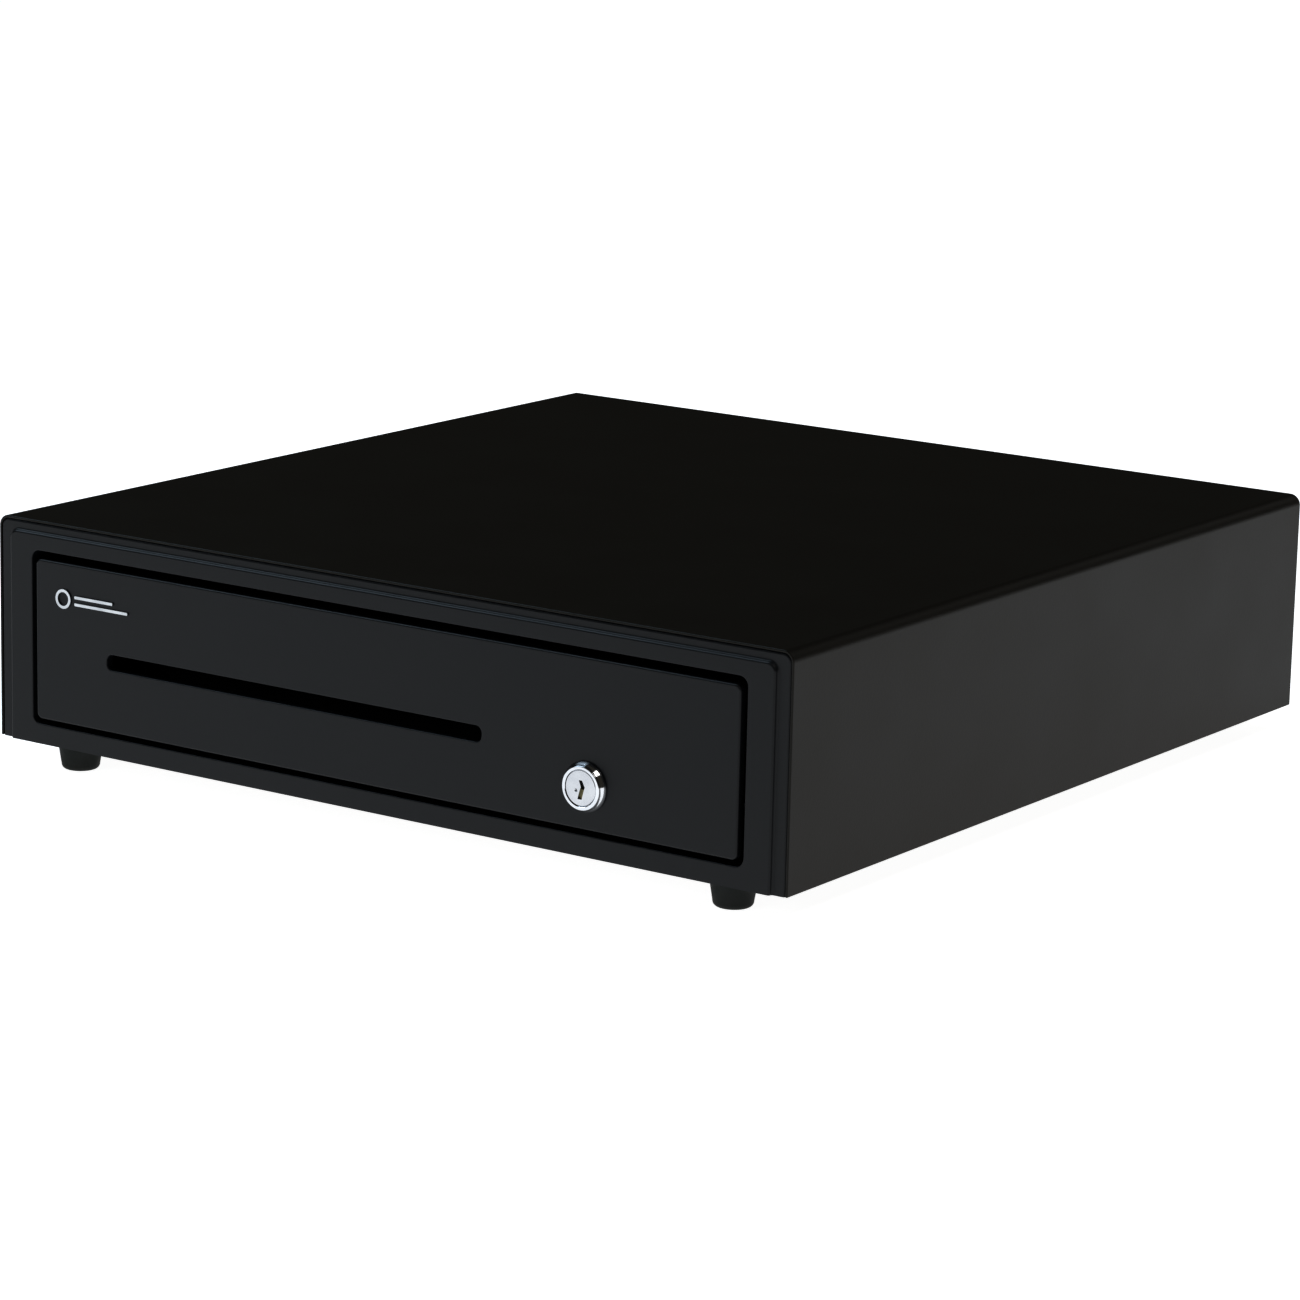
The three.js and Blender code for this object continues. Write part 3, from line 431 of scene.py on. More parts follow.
def moulded_abs(name, colour, lift):
    """ABS moulded in a spark-eroded tool: an even satin grain with a cool tone."""
    material, tree, shader, place = surface(name, roughness=0.4, specular=0.29)
    blotches(tree, place, shader, (colour, lift), 50, (0.36, 0.42))
    # Spark grain is about 0.15 mm; it is drawn at 0.9 mm so that it shows.
    size = {"Scale": per_metre(0.9), "Detail": 5.0, "Roughness": 0.7}
    grain = add(tree, "TexNoise", {}, {"Vector": place, **size})
    relief(tree, shader, grain.outputs["Fac"], 0.02)
    return material


def moulded_rubber(name):
    """Moulded black rubber: dull, with a little bloom and pinholes."""
    material, tree, shader, place = surface(name, roughness=0.75, specular=0.35)
    blotches(tree, place, shader, ("141715", "1F2321"), 6, (0.62, 0.82))
    pits = add(tree, "TexVoronoi", {}, {"Vector": place, "Scale": per_metre(0.7)})
    relief(tree, shader, pits.outputs["Distance"], 0.03)
    return material


def plated_metal(name, colours, roughness, scratch_mm):
    """Plated metal: bright, with fine wiping marks that break its reflections."""
    material, tree, shader, place = surface(name, metallic=1.0, roughness=roughness[0])
    blotches(tree, place, shader, colours, 9, roughness)
    drawn = add(tree, "Mapping", {}, {"Vector": place, "Scale": (1.0, 0.08, 1.0)})
    size = {"Scale": per_metre(scratch_mm), "Detail": 4.0}
    marks = add(tree, "TexNoise", {}, {"Vector": drawn.outputs["Vector"], **size})
    relief(tree, shader, marks.outputs["Fac"], 0.004)
    return material


def zinc_plated_steel(name):
    """Cold-rolled steel with bright zinc and a clear passivate: grey-white, with spangled patches."""
    material, tree, shader, place = surface(name, metallic=1.0, roughness=0.34)
    spangle = add(tree, "TexVoronoi", {}, {"Vector": place, "Scale": per_metre(5.0)})
    tone = add(
        tree,
        "Mix",
        {"data_type": "RGBA"},
        {0: spangle.outputs["Color"], 6: linear("A6AAAD"), 7: linear("C3C6C8")},
    )
    tree.links.new(tone.outputs[2], shader.inputs["Base Color"])
    rolled = add(tree, "Mapping", {}, {"Vector": place, "Scale": (1.0, 0.05, 1.0)})
    size = {"Scale": per_metre(0.6), "Detail": 3.0}
    lines = add(tree, "TexNoise", {}, {"Vector": rolled.outputs["Vector"], **size})
    rough = add(tree, "MapRange", {}, {"Value": lines.outputs["Fac"], "To Min": 0.24, "To Max": 0.44})
    tree.links.new(rough.outputs["Result"], shader.inputs["Roughness"])
    relief(tree, shader, lines.outputs["Fac"], 0.006)
    return material


def wound_tape(name):
    """Amber polyester tape over copper wire: glossy, with the turns showing through as fine ribs."""
    material, tree, shader, place = surface(name, roughness=0.22)
    turns = add(
        tree,
        "TexWave",
        {"wave_type": "BANDS", "bands_direction": "Z"},
        {"Vector": place, "Scale": per_metre(0.6) / WAVE_PER_UNIT, "Distortion": 0.4, "Detail": 1.0},
    )
    ends = {6: linear("8A5A12"), 7: linear("C48A2A")}
    tone = add(tree, "Mix", {"data_type": "RGBA"}, {0: turns.outputs["Fac"], **ends})
    tree.links.new(tone.outputs[2], shader.inputs["Base Color"])
    relief(tree, shader, turns.outputs["Fac"], 0.05)
    return material


def sheathed_pvc(name):
    """Extruded PVC: satin black with a faint even ripple."""
    material, tree, shader, place = surface(name, roughness=0.45)
    blotches(tree, place, shader, ("121212", "1E1E1E"), 4, (0.38, 0.52))
    ripple = add(tree, "TexNoise", {}, {"Vector": place, "Scale": per_metre(1.5), "Detail": 2.0})
    relief(tree, shader, ripple.outputs["Fac"], 0.03)
    return material


FINISH = {}

# The rounding along the edges of bent sheet and small steel parts.
SHEET_EDGE = 0.2 * MM


def make_finishes():
    """Every finish of the drawer, by what it is used for."""
    chosen = bpy.context.scene.drawer_finish
    FINISH.update(
        coat=powder_coated_steel("black_powder_coated_steel", chosen.steel),
        front=moulded_abs("black_moulded_abs", chosen.plastic, "15171A"),
        till=moulded_abs("black_till_abs", chosen.till, "252628"),
        cups=moulded_abs("grey_cup_abs", chosen.cups, "45474A"),
        rubber=moulded_rubber("black_moulded_rubber"),
        chrome=plated_metal("polished_chrome_plate", ("DBDCDF", "C9CCD1"), (0.06, 0.16), 0.5),
        plug=plated_metal("satin_nickel_plate", ("C8C9CC", "BABCC1"), (0.2, 0.32), 0.4),
        brass=plated_metal("tarnished_brass", ("7C765A", "5C5842"), (0.35, 0.5), 0.3),
        zinc=zinc_plated_steel("zinc_plated_steel"),
        spring=plated_metal("drawn_spring_steel", ("8E9194", "A5A8AA"), (0.25, 0.38), 0.3),
        balls=plated_metal("polished_ball_steel", ("C4C6C8", "D0D2D4"), (0.06, 0.14), 0.4),
        foil=plated_metal("hot_stamped_silver_foil", ("C9CBCE", "B4B7BB"), (0.28, 0.4), 0.5),
        gold=plated_metal("gold_plated_contacts", ("D8B25A", "C79B3E"), (0.2, 0.3), 0.3),
        tape=wound_tape("amber_coil_tape"),
        phenolic=moulded_abs("black_phenolic", "161616", "202020"),
        pvc=sheathed_pvc("black_pvc_sheath"),
    )


# ---- Case ----

S_STEPS = 7  # in each half of the bezel's moulded step


def cover_outline(case, y):
    """The cover's bent sheet, seen from the front: one outline round its outside and inside."""
    half, base, top = CASE_HIGH.x, CASE_LOW.z, CASE_HIGH.z
    inner = case.bend - case.sheet
    cx, cz = half - case.bend, top - case.bend
    points = [Vector((half, y, base))]
    for sine, cosine in quarter(12):
        points.append(Vector((cx + case.bend * cosine, y, cz + case.bend * sine)))
    for sine, cosine in quarter(12):
        points.append(Vector((-cx - case.bend * sine, y, cz + case.bend * cosine)))
    points.append(Vector((-half, y, base)))
    points.append(Vector((-half + case.sheet, y, base)))
    for sine, cosine in reversed(quarter(12)):
        points.append(Vector((-cx - inner * sine, y, cz + inner * cosine)))
    for sine, cosine in reversed(quarter(12)):
        points.append(Vector((cx + inner * cosine, y, cz + inner * sine)))
    points.append(Vector((half - case.sheet, y, base)))
    return points


class CoverOperator(bpy.types.Operator):
    """Builds the case's folded steel cover"""

    bl_idname = "cash_drawer.cover"
    bl_label = "Steel cover"

    def execute(self, context):
        case = context.scene.drawer_case
        mesh = bmesh.new()
        sweep(mesh, cover_outline(case, CASE_LOW.y), (0, CASE_LOW.y, 0), (0, CASE_HIGH.y, 0))
        piece = as_piece("cover_sheet", mesh, "cabinet", FINISH["coat"], ["cover"])
        soften(piece, case.edge, 2, 60)
        return {"FINISHED"}


def screw_head(name, node):
    """A domed screw head with a crossed recess, and its shank."""
    low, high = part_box(node)
    centre = (low + high) / 2
    radius = (high.x - low.x) / 2
    height, rim, dome, shank = 2.0 * MM, 0.4 * MM, 1.6 * MM, 1.7 * MM
    arm, thick, recess, flat = 4.2 * MM, 0.8 * MM, 1.0 * MM, 0.35
    seat = high.y - height
    mesh = bmesh.new()
    profile = [(0.0, low.y), (shank, low.y), (shank, seat), (radius, seat), (radius, seat + rim)]
    for sine, cosine in quarter(8)[1:]:
        profile.append((radius * (flat + (1 - flat) * cosine), seat + rim + dome * sine))
    profile.append((0.0, high.y))
    turned(mesh, profile, centre)
    piece = as_piece(name, mesh, "cabinet", FINISH["zinc"], [node])
    tools = []
    for wide, tall in ((arm, thick), (thick, arm)):
        slot = bmesh.new()
        outline = rounded_rectangle(
            centre.x - wide / 2, centre.x + wide / 2, centre.z - tall / 2, centre.z + tall / 2,
            0.1 * MM, 0.1 * MM, high.y - recess, 2,
        )
        sweep(slot, outline, (0, high.y - recess, 0), (0, high.y + recess, 0))
        tools.append(cutter(slot))
    carve(piece, tools)
    piece.data.set_sharp_from_angle(angle=math.radians(35))


class ShellOperator(bpy.types.Operator):
    """Finishes the base pan and rear panel, and sets the screws and the release socket in them"""

    bl_idname = "cash_drawer.shell"
    bl_label = "Base pan and rear panel"

    def execute(self, context):
        edge = context.scene.drawer_case.edge
        finish_node("base_pan", FINISH["coat"], edge)
        finish_node("rear_panel", FINISH["coat"], edge)
        for level in ("low", "high"):
            for side in ("left", "right"):
                screw_head(f"screw_{level}_{side}", f"case_screw_{level}_{side}")
        finish_node("jack_socket", FINISH["phenolic"], 0.3 * MM)
        low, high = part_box("jack_socket")
        middle = (low + high) / 2
        contacts, pitch, thick = 6, 1.02 * MM, 0.22 * MM
        # How far each bend of a contact lies inside the socket's mouth, and below its middle.
        bends = ((11 * MM, 1.2 * MM), (6 * MM, 1.8 * MM), (1.5 * MM, 2.9 * MM))
        for i in range(contacts):
            x = middle.x + (i - (contacts - 1) / 2) * pitch
            points = [Vector((x, high.y - inside, middle.z - below)) for inside, below in bends]
            wire(f"socket_contact_{i + 1}", points, thick, "cabinet", FINISH["gold"])
        return {"FINISHED"}


class FeetOperator(bpy.types.Operator):
    """Turns the four rubber feet"""

    bl_idname = "cash_drawer.feet"
    bl_label = "Rubber feet"

    def execute(self, context):
        for end in ("front", "rear"):
            for side in ("left", "right"):
                node = f"foot_{end}_{side}"
                low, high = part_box(node)
                centre = (low + high) / 2
                top, base, edge, chamfer = (high.x - low.x) / 2, 8.3 * MM, 2.25 * MM, 0.3 * MM
                dish, dish_depth, taper, sole = 3.2 * MM, 1.5 * MM, 0.4 * MM, 1.2 * MM
                profile = [(0.0, high.z), (top - chamfer, high.z), (top, high.z - chamfer)]
                for sine, cosine in quarter(8):
                    profile.append((base - edge * (1 - cosine), low.z + edge * (1 - sine)))
                profile += [(base - edge - sole, low.z), (dish, low.z)]
                profile += [(dish - taper, low.z + dish_depth), (0.0, low.z + dish_depth)]
                mesh = bmesh.new()
                turned(mesh, profile, centre, "Z", 64)
                name = f"rubber_foot_{end}_{side}"
                as_piece(name, mesh, "cabinet", FINISH["rubber"], [node])
        return {"FINISHED"}


def bezel_loops(case, bezel):
    """The bezel's section, as rounded rectangles from its back edge round the front and into the opening."""
    half, base, top = BEZEL_HIGH.x + bezel.fit, BEZEL_LOW.z, BEZEL_HIGH.z + bezel.fit
    face = BEZEL_LOW.y
    back, rim = face + bezel.depth, face + bezel.step
    fold, square, face_corner = case.bend - case.sheet, 0.2 * MM, 4 * MM
    loops = []

    def loop(inset_side, inset_top, inset_low, y, corner, low=square):
        x = half - inset_side
        loops.append(rounded_rectangle(-x, x, base + inset_low, top - inset_top, low, corner, y))

    loop(0, 0, 0, back, fold)
    edge = bezel.rim_edge
    for sine, cosine in quarter(8):
        loop(edge * (1 - cosine), edge * (1 - cosine), 0, rim + edge * (1 - sine), fold - edge * (1 - cosine))
    # The step is an S: a hollow that turns up to the steepest slope, then a rounding that turns back.
    radius = bezel.step / 2 / (1 - math.cos(bezel.slope))
    run = radius * math.sin(bezel.slope)
    for i in range(S_STEPS + 1):
        angle = bezel.slope * i / S_STEPS
        inset = radius * math.sin(angle)
        loop(
            bezel.rim_side + inset, bezel.rim_top + inset, 0,
            rim - radius * (1 - math.cos(angle)), face_corner + run - inset,
        )
    for i in reversed(range(S_STEPS)):
        angle = bezel.slope * i / S_STEPS
        inset = 2 * run - radius * math.sin(angle)
        loop(
            bezel.rim_side + inset, bezel.rim_top + inset, 0,
            face + radius * (1 - math.cos(angle)), face_corner + run - inset,
        )
    wide, low, high = bezel.opening_half, bezel.opening_low, top - base - bezel.opening_high
    corner, lip = bezel.opening_corner, 0.5 * MM
    for sine, cosine in quarter(5):
        grow = lip * (1 - sine)
        y = face + lip * (1 - cosine)
        loop(half - wide - grow, high - grow, low - grow, y, corner + grow, corner + grow)
    collar, rear, plate = 2.5 * MM, BEZEL_HIGH.y, 4 * MM
    loop(half - wide, high, low, rear, corner, corner)
    for y in (rear, face + plate):
        loop(half - wide - collar, high - collar, low - collar, y, corner + collar, corner + collar)
    # The lip behind the frame stands on the base pan, inside the cover.
    wall, lip_rear, ledge, stand = 2.4 * MM, face + 12 * MM, 0.05 * MM, case.sheet + 0.3 * MM
    for inset, y in ((wall, face + plate), (wall, lip_rear), (ledge, lip_rear), (ledge, back)):
        loop(inset, inset, inset + stand, y, fold - ledge)
    return loops


class BezelOperator(bpy.types.Operator):
    """Builds the moulded bezel, with its raised face, stepped rim and hollow back"""

    bl_idname = "cash_drawer.bezel"
    bl_label = "Front bezel"

    def execute(self, context):
        mesh = bmesh.new()
        skin(mesh, bezel_loops(context.scene.drawer_case, context.scene.drawer_bezel), closed=True)
        piece = as_piece(
            "bezel_moulding", mesh, "cabinet", FINISH["front"], ["front_bezel"], 50
        )
        flatten(piece)
        return {"FINISHED"}


# ---- Drawer ----


def slot_loop(front, grow, y):
    """The document slot's outline, grown by its lip."""
    x0, z0 = FRONT_LOW.x + front.slot_left, FRONT_LOW.z + front.slot_low
    corner = 3 * MM + grow
    x1, z1 = x0 + front.slot_width, z0 + front.slot_height
    return rounded_rectangle(x0 - grow, x1 + grow, z0 - grow, z1 + grow, corner, corner, y, 12)


class FrontOperator(bpy.types.Operator):
    """Builds the drawer's moulded front, with its document slot and lock hole"""

    bl_idname = "cash_drawer.front"
    bl_label = "Drawer front"

    def execute(self, context):
        front = context.scene.drawer_front
        face, back = FRONT_LOW.y, FRONT_HIGH.y
        mesh = bmesh.new()
        loops = [(0.0, back)] + [
            (front.edge * (1 - cosine), face + front.edge * (1 - sine)) for sine, cosine in quarter(8)
        ]
        outer = skin(
            mesh,
            [
                rounded_rectangle(
                    FRONT_LOW.x + inset, FRONT_HIGH.x - inset,
                    FRONT_LOW.z + inset, FRONT_HIGH.z - inset,
                    front.corner - inset, front.corner - inset, y,
                )
                for inset, y in loops
            ],
        )
        lip = front.slot_lip
        slot_rows = [(lip * (1 - sine), face + lip * (1 - cosine)) for sine, cosine in quarter(6)]
        slot_rows.append((0.0, back))
        slot = skin(mesh, [slot_loop(front, grow, y) for grow, y in slot_rows])
        lock = (LOCK_LOW + LOCK_HIGH) / 2
        bore = 8.2 * MM
        hole = skin(mesh, [ring(lock, bore, face), ring(lock, bore, back)])
        fill(mesh, outer[-1], slot[0], hole[0])
        fill(mesh, outer[0], slot[-1], hole[-1])
        piece = as_piece(
            "drawer_fascia", mesh, "drawer", FINISH["front"], ["drawer_front"], 30
        )
        flatten(piece)
        return {"FINISHED"}


class BadgeOperator(bpy.types.Operator):
    """Stamps a plain silver emblem, a ring beside two bars, on the drawer front"""

    bl_idname = "cash_drawer.badge"
    bl_label = "Silver emblem"

    def execute(self, context):
        low, high = BADGE_LOW, BADGE_HIGH
        tall = high.z - low.z
        stroke, gap, corner = 1.25 * MM, 2.2 * MM, 0.4 * MM
        centre = Vector((low.x + tall / 2, 0, (low.z + high.z) / 2))
        mesh = bmesh.new()
        outer, inner = tall / 2, tall / 2 - stroke
        section = ((outer, high.y), (outer, low.y), (inner, low.y), (inner, high.y))
        skin(mesh, [ring(centre, radius, y) for radius, y in section], closed=True)
        for share, width in ((0.32, 1.0), (0.68, 0.72)):
            z = low.z + tall * share
            x0 = low.x + tall + gap
            x1 = x0 + (high.x - x0) * width
            bar = rounded_rectangle(x0, x1, z - stroke / 2, z + stroke / 2, corner, corner, high.y, 4)
            sweep(mesh, bar, (0, high.y, 0), (0, low.y, 0))
        as_piece("silver_emblem", mesh, "drawer", FINISH["foil"], ["front_badge"])
        return {"FINISHED"}


# Corners of the zigzag keyway about the plug's middle, clockwise from its top left, in mm.
KEYWAY = (
    (-0.85, 3.2), (0.7, 3.2), (2.05, 0.6), (1.6, -0.8), (0.6, -4.6), (-1.4, -4.6), (-0.3, -0.7), (0.15, 0.5),
)
DIMPLE_AT = (-2.2, -1.1)


class LockOperator(bpy.types.Operator):
    """Turns the chrome lock ring and the plug with its keyway and brass shutter"""

    bl_idname = "cash_drawer.lock"
    bl_label = "Key lock"

    def execute(self, context):
        lock = context.scene.drawer_lock
        centre = (LOCK_LOW + LOCK_HIGH) / 2
        radius = (LOCK_HIGH.x - LOCK_LOW.x) / 2
        face, back = LOCK_LOW.y, LOCK_HIGH.y
        gap, lip, barrel, bore, edge = 0.3 * MM, 0.15 * MM, 7.8 * MM, 5.6 * MM, lock.rounding
        under, seat = FRONT_LOW.y - gap, face + lock.seat_depth
        profile = [(lock.seat, seat), (lock.seat, face + lip), (lock.seat + lip, face)]
        for sine, cosine in quarter(6):
            profile.append((lock.face - edge * (1 - sine), face + edge * (1 - cosine)))
        # The flank swells a little between its two ends, like a spun escutcheon.
        for share, swell in ((0.35, 0.16 * MM), (0.7, 0.16 * MM), (0.92, 0.06 * MM)):
            spread = lock.face + (radius - lock.face) * share + swell
            profile.append((min(spread, radius), face + edge + (lock.flare - edge) * share))
        profile += [(radius, face + lock.flare), (radius, under), (barrel, under), (barrel, back)]
        profile += [(bore, back), (bore, seat), (lock.seat, seat)]
        mesh = bmesh.new()
        turned(mesh, profile, centre, "Y", 96)
        as_piece("lock_ring", mesh, "drawer", FINISH["chrome"], ["lock_body"], 30)

        front, rear = PLUG_LOW.y, PLUG_HIGH.y
        stem, tail, tail_length, chamfer = 5.45 * MM, 3.0 * MM, 2.8 * MM, 0.3 * MM
        dent_floor, dent_depth = 0.2 * MM, 0.7 * MM
        head_rear, step = seat - gap, rear - tail_length
        keyway = [Vector((centre.x + x * MM, front, centre.z + z * MM)) for x, z in KEYWAY]
        mesh = bmesh.new()
        turns = [(lock.head - chamfer, front), (lock.head, front + chamfer), (lock.head, head_rear)]
        turns += [(stem, head_rear), (stem, step), (tail, step), (tail, rear)]
        rows = skin(mesh, [ring(centre, radius, y, 96) for radius, y in turns])
        depth = Vector((0, lock.key_depth, 0))
        walls = skin(mesh, [keyway, [point + depth for point in keyway]])
        mark = centre + Vector((DIMPLE_AT[0] * MM, 0, DIMPLE_AT[1] * MM))
        floor = ring(mark, dent_floor, front + dent_depth, 16)
        dent = skin(mesh, [ring(mark, lock.dimple, front, 16), floor])
        fill(mesh, rows[0], walls[0], dent[0])
        for row in (rows[-1], walls[-1], dent[-1]):
            mesh.faces.new(row)
        as_piece("lock_cylinder", mesh, "lock_plug", FINISH["plug"], ["lock_plug"], 30)

        mesh = bmesh.new()
        inset, thick = Vector((0, 1.2 * MM, 0)), 0.6 * MM
        shutter = [keyway[i] + inset for i in (3, 4, 5, 6)]
        sweep(mesh, shutter, (0, 0, 0), (0, thick, 0))
        as_piece("key_shutter", mesh, "lock_plug", FINISH["brass"])
        for node in ("lock_nut", "lock_cam"):
            finish_node(node, FINISH["zinc"], 0.25 * MM)
        finish_node("lock_bolt", FINISH["zinc"], SHEET_EDGE)
        finish_node("lock_keeper", FINISH["zinc"], SHEET_EDGE)
        return {"FINISHED"}


class TrayOperator(bpy.types.Operator):
    """Finishes the folded drawer pan and the ledges that the till rests on"""

    bl_idname = "cash_drawer.tray"
    bl_label = "Drawer pan"

    def execute(self, context):
        finish_node("drawer_tray", FINISH["coat"], SHEET_EDGE)
        for side in ("left", "right"):
            finish_node(f"till_rail_{side}", FINISH["zinc"], SHEET_EDGE)
        return {"FINISHED"}


class SlidesOperator(bpy.types.Operator):
    """Finishes the ball slides and sets smooth balls in their cages"""

    bl_idname = "cash_drawer.slides"
    bl_label = "Ball slides"

    def execute(self, context):
        for side in ("left", "right"):
            for node in (f"slide_bracket_{side}", f"slide_outer_{side}", f"slide_inner_{side}"):
                finish_node(node, FINISH["zinc"], SHEET_EDGE)
            cage = f"ball_cage_{side}"
            finish_node(cage, FINISH["balls"], 0.0)
            low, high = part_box(cage)
            outwards = 1 if side == "right" else -1
            mouth = low.x if side == "right" else high.x
            radius, from_edge, in_mouth = 1.96 * MM, 1.9 * MM, 2.0 * MM
            spacing = (high.y - low.y) / 4
            for level, z in (("low", low.z + from_edge), ("high", high.z - from_edge)):
                for i in (1, 2, 3):
                    mesh = bmesh.new()
                    spot = Matrix.Translation((mouth + outwards * in_mouth, low.y + i * spacing, z))
                    bmesh.ops.create_uvsphere(mesh, u_segments=32, v_segments=16, radius=radius, matrix=spot)
                    as_piece(f"ball_{side}_{level}_{i}", mesh, cage, FINISH["balls"], sharp=80)
        return {"FINISHED"}


class TillOperator(bpy.types.Operator):
    """Finishes the till, its cups, dividers and note clips, and winds the clips' springs"""

    bl_idname = "cash_drawer.till"
    bl_label = "Till"

    def execute(self, context):
        finish_node("till_tray", FINISH["till"], 0.6 * MM, segments=3)
        finish_node("clip_rod", FINISH["spring"], SHEET_EDGE, 50)
        rod_low, rod_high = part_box("clip_rod")
        rod = (rod_low + rod_high) / 2
        gap, coil, wound, thick, turns = 0.6 * MM, 2.5 * MM, 6 * MM, 0.4 * MM, 6
        leg_forward, leg_down = 9 * MM, 6 * MM
        for bay in range(1, 6):
            finish_node(f"coin_cup_{bay}", FINISH["cups"], 0.5 * MM, segments=3)
            if bay < 5:
                finish_node(f"bill_divider_{bay}", FINISH["cups"], 0.4 * MM, segments=3)
            clip = f"bill_clip_{bay}"
            finish_node(clip, FINISH["spring"], SHEET_EDGE, 40)
            _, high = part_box(clip)
            start = high.x + gap
            points = helix(rod, "X", coil, start, start + wound, turns)
            points.append(Vector((start + wound, rod.y - leg_forward, rod.z - leg_down)))
            wire(f"clip_spring_{bay}", points, thick, "drawer", FINISH["spring"])
        return {"FINISHED"}


# ---- Works behind the drawer ----


class LatchOperator(bpy.types.Operator):
    """Finishes the latch, its solenoid, the kick-out spring and the drawer switch"""

    bl_idname = "cash_drawer.latch"
    bl_label = "Latch and solenoid"

    def execute(self, context):
        latch = ("strike_plate", "latch_lever", "latch_bracket")
        solenoid = ("solenoid_frame", "solenoid_plunger")
        for node in (*latch, *solenoid, "eject_bracket"):
            finish_node(node, FINISH["zinc"], SHEET_EDGE)
        finish_node("solenoid_coil", FINISH["tape"], 0.3 * MM)
        finish_node("switch_body", FINISH["phenolic"], 0.4 * MM)
        finish_node("switch_lever", FINISH["spring"], 0.1 * MM)
        finish_node("jack_cable", FINISH["pvc"], 0.0)
        steel = FINISH["spring"]
        low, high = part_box("eject_spring")
        thick, turns = 0.8 * MM, 7
        coil = (high.x - low.x) / 2 - thick
        wound = helix((low + high) / 2, "Y", coil, low.y + thick, high.y - thick, turns)
        wire("kick_out_spring", wound, thick, "cabinet", steel, ["eject_spring"])
        low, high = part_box("latch_spring")
        thick, turns = 0.5 * MM, 14
        coil = (high.x - low.x) / 2 - thick
        wound = helix((low + high) / 2, "Z", coil, low.z + thick, high.z - thick, turns)
        wire("latch_return_spring", wound, thick, "cabinet", steel, ["latch_spring"])
        return {"FINISHED"}


# ---- Stage ----


LIGHTS_AIM = Vector((0, 0, 0.05))
FLOOR_DROP = 0.3 * MM  # keeps the floor clear of the feet's soles


def softbox(name, place, size, power, colour, glossy=True):
    """A rectangular studio light that looks at the drawer's middle."""
    light = bpy.data.lights.new(name, "AREA")
    light.shape = "RECTANGLE"
    light.size, light.size_y = size
    light.energy = power
    light.color = colour
    lamp = bpy.data.objects.new(name, light)
    lamp.location = place
    lamp.rotation_euler = (LIGHTS_AIM - Vector(place)).to_track_quat("-Z", "Y").to_euler()
    lamp.visible_glossy = glossy
    bpy.context.scene.collection.objects.link(lamp)


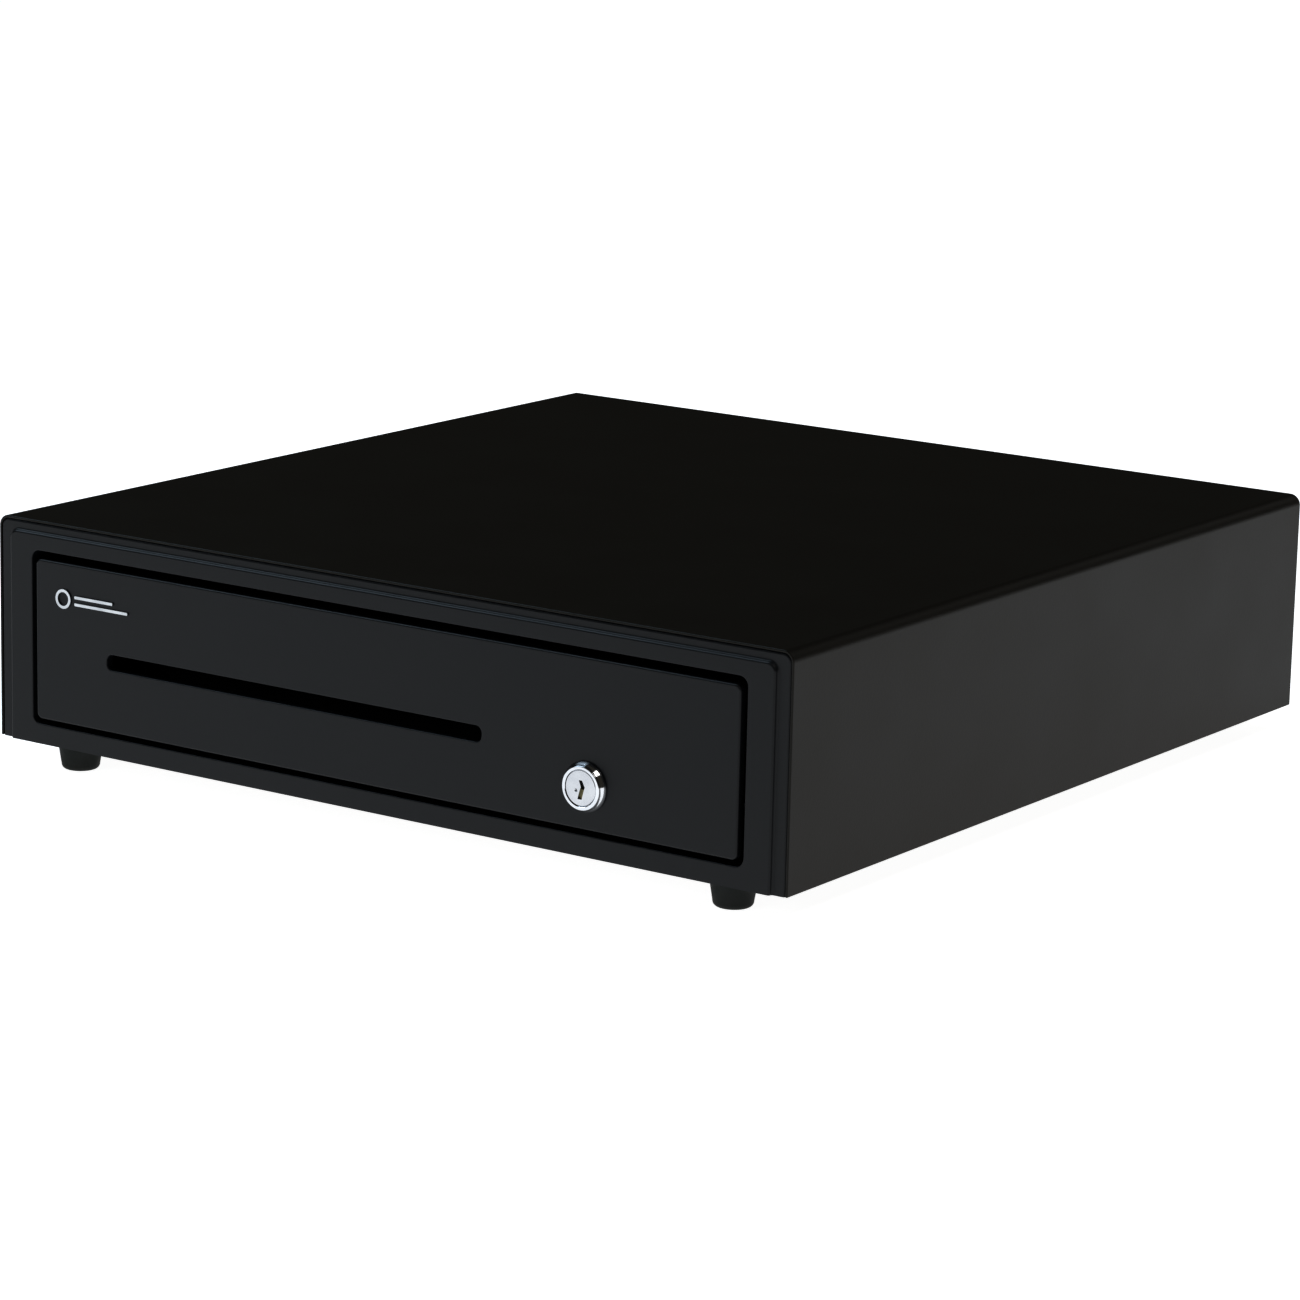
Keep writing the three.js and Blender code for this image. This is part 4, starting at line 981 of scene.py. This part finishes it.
class StageOperator(bpy.types.Operator):
    """Sets the pale floor, the soft lights and the camera"""

    bl_idname = "cash_drawer.stage"
    bl_label = "Stage"

    def execute(self, context):
        stage = context.scene.drawer_stage
        bpy.ops.mesh.primitive_plane_add(size=stage.floor, location=(0, 0, -FLOOR_DROP))
        floor = context.object
        floor.name = "floor"
        material, tree, shader, _ = surface("pale_studio_paper", roughness=0.9, specular=0.0)
        shader.inputs["Base Color"].default_value = linear("F2F2F2")
        shader.inputs["Emission Color"].default_value = linear("FFFFFF")
        shader.inputs["Emission Strength"].default_value = 0.95
        floor.data.materials.append(material)

        world = bpy.data.worlds.new("studio")
        context.scene.world = world
        world.use_nodes = True
        tree = world.node_tree
        back = tree.nodes["Background"]
        back.inputs["Color"].default_value = linear("E6DECC")
        back.inputs["Strength"].default_value = 0.062
        pale = add(tree, "Background", {}, {"Color": linear("FFFFFF"), "Strength": 1.0})
        seen = add(tree, "LightPath")
        layers = {1: back.outputs[0], 2: pale.outputs[0]}
        mix = add(tree, "MixShader", {}, {0: seen.outputs["Is Camera Ray"], **layers})
        tree.links.new(mix.outputs[0], tree.nodes["World Output"].inputs["Surface"])

        softbox("upper_left", (-1.6, -0.5, 2.1), (1.3, 1.6), 34.0, (0.7, 0.86, 1.0))
        softbox("upper_right", (1.5, -0.2, 2.3), (0.7, 0.9), 10.0, (1.0, 0.98, 0.94))
        softbox("back_right", (0.8, 2.2, 1.3), (1.6, 1.0), 1.8, (1.0, 0.97, 0.92))
        softbox("front", (-0.5, -3.0, 1.2), (1.6, 0.8), 8.0, (0.9, 0.95, 1.0), False)

        camera_data = bpy.data.cameras.new("camera")
        camera_data.lens = stage.lens
        camera_data.sensor_width = 36.0
        camera_data.clip_end = 100.0
        camera = bpy.data.objects.new("camera", camera_data)
        context.scene.collection.objects.link(camera)
        az, el = stage.azimuth, stage.elevation
        back = Vector((math.sin(az) * math.cos(el), -math.cos(az) * math.cos(el), math.sin(el)))
        right = Vector((0, 0, 1)).cross(back).normalized()
        up = back.cross(right)
        level = right * math.cos(stage.roll) + up * math.sin(stage.roll)
        upright = up * math.cos(stage.roll) - right * math.sin(stage.roll)
        turn = Matrix((level, upright, back)).transposed().to_4x4()
        camera.matrix_world = Matrix.Translation(LOOK_AT + back * stage.distance) @ turn
        context.scene.camera = camera
        context.scene.view_settings.view_transform = "Standard"
        context.scene.view_settings.gamma = 0.8
        return {"FINISHED"}


class FinishesOperator(bpy.types.Operator):
    """Makes the drawer's materials"""

    bl_idname = "cash_drawer.finishes"
    bl_label = "Finishes"

    def execute(self, context):
        make_finishes()
        return {"FINISHED"}


OPERATORS = (
    StageOperator,
    FinishesOperator,
    CoverOperator,
    ShellOperator,
    FeetOperator,
    BezelOperator,
    FrontOperator,
    BadgeOperator,
    LockOperator,
    TrayOperator,
    SlidesOperator,
    TillOperator,
    LatchOperator,
)


class CashDrawerPanel(bpy.types.Panel):
    """Lists the drawer's operators and settings"""

    bl_idname = "VIEW3D_PT_cash_drawer"
    bl_label = "Cash Drawer"
    bl_space_type = "VIEW_3D"
    bl_region_type = "UI"
    bl_category = "Cash Drawer"

    def draw(self, context):
        for operator in OPERATORS:
            self.layout.operator(operator.bl_idname)
        for name in SETTINGS:
            box = self.layout.box()
            settings = getattr(context.scene, name)
            for field in settings.bl_rna.properties:
                if field.identifier not in ("rna_type", "name"):
                    box.prop(settings, field.identifier)


CLASSES = (*SETTINGS.values(), *OPERATORS, CashDrawerPanel)


def register():
    for cls in CLASSES:
        bpy.utils.register_class(cls)
    for name, group in SETTINGS.items():
        setattr(bpy.types.Scene, name, bpy.props.PointerProperty(type=group))


def unregister():
    for name in SETTINGS:
        delattr(bpy.types.Scene, name)
    for cls in reversed(CLASSES):
        bpy.utils.unregister_class(cls)


def main():
    register()
    for operator in OPERATORS:
        call = operator.bl_idname.split(".")[1]
        getattr(bpy.ops.cash_drawer, call)()


if __name__ == "__main__":
    main()
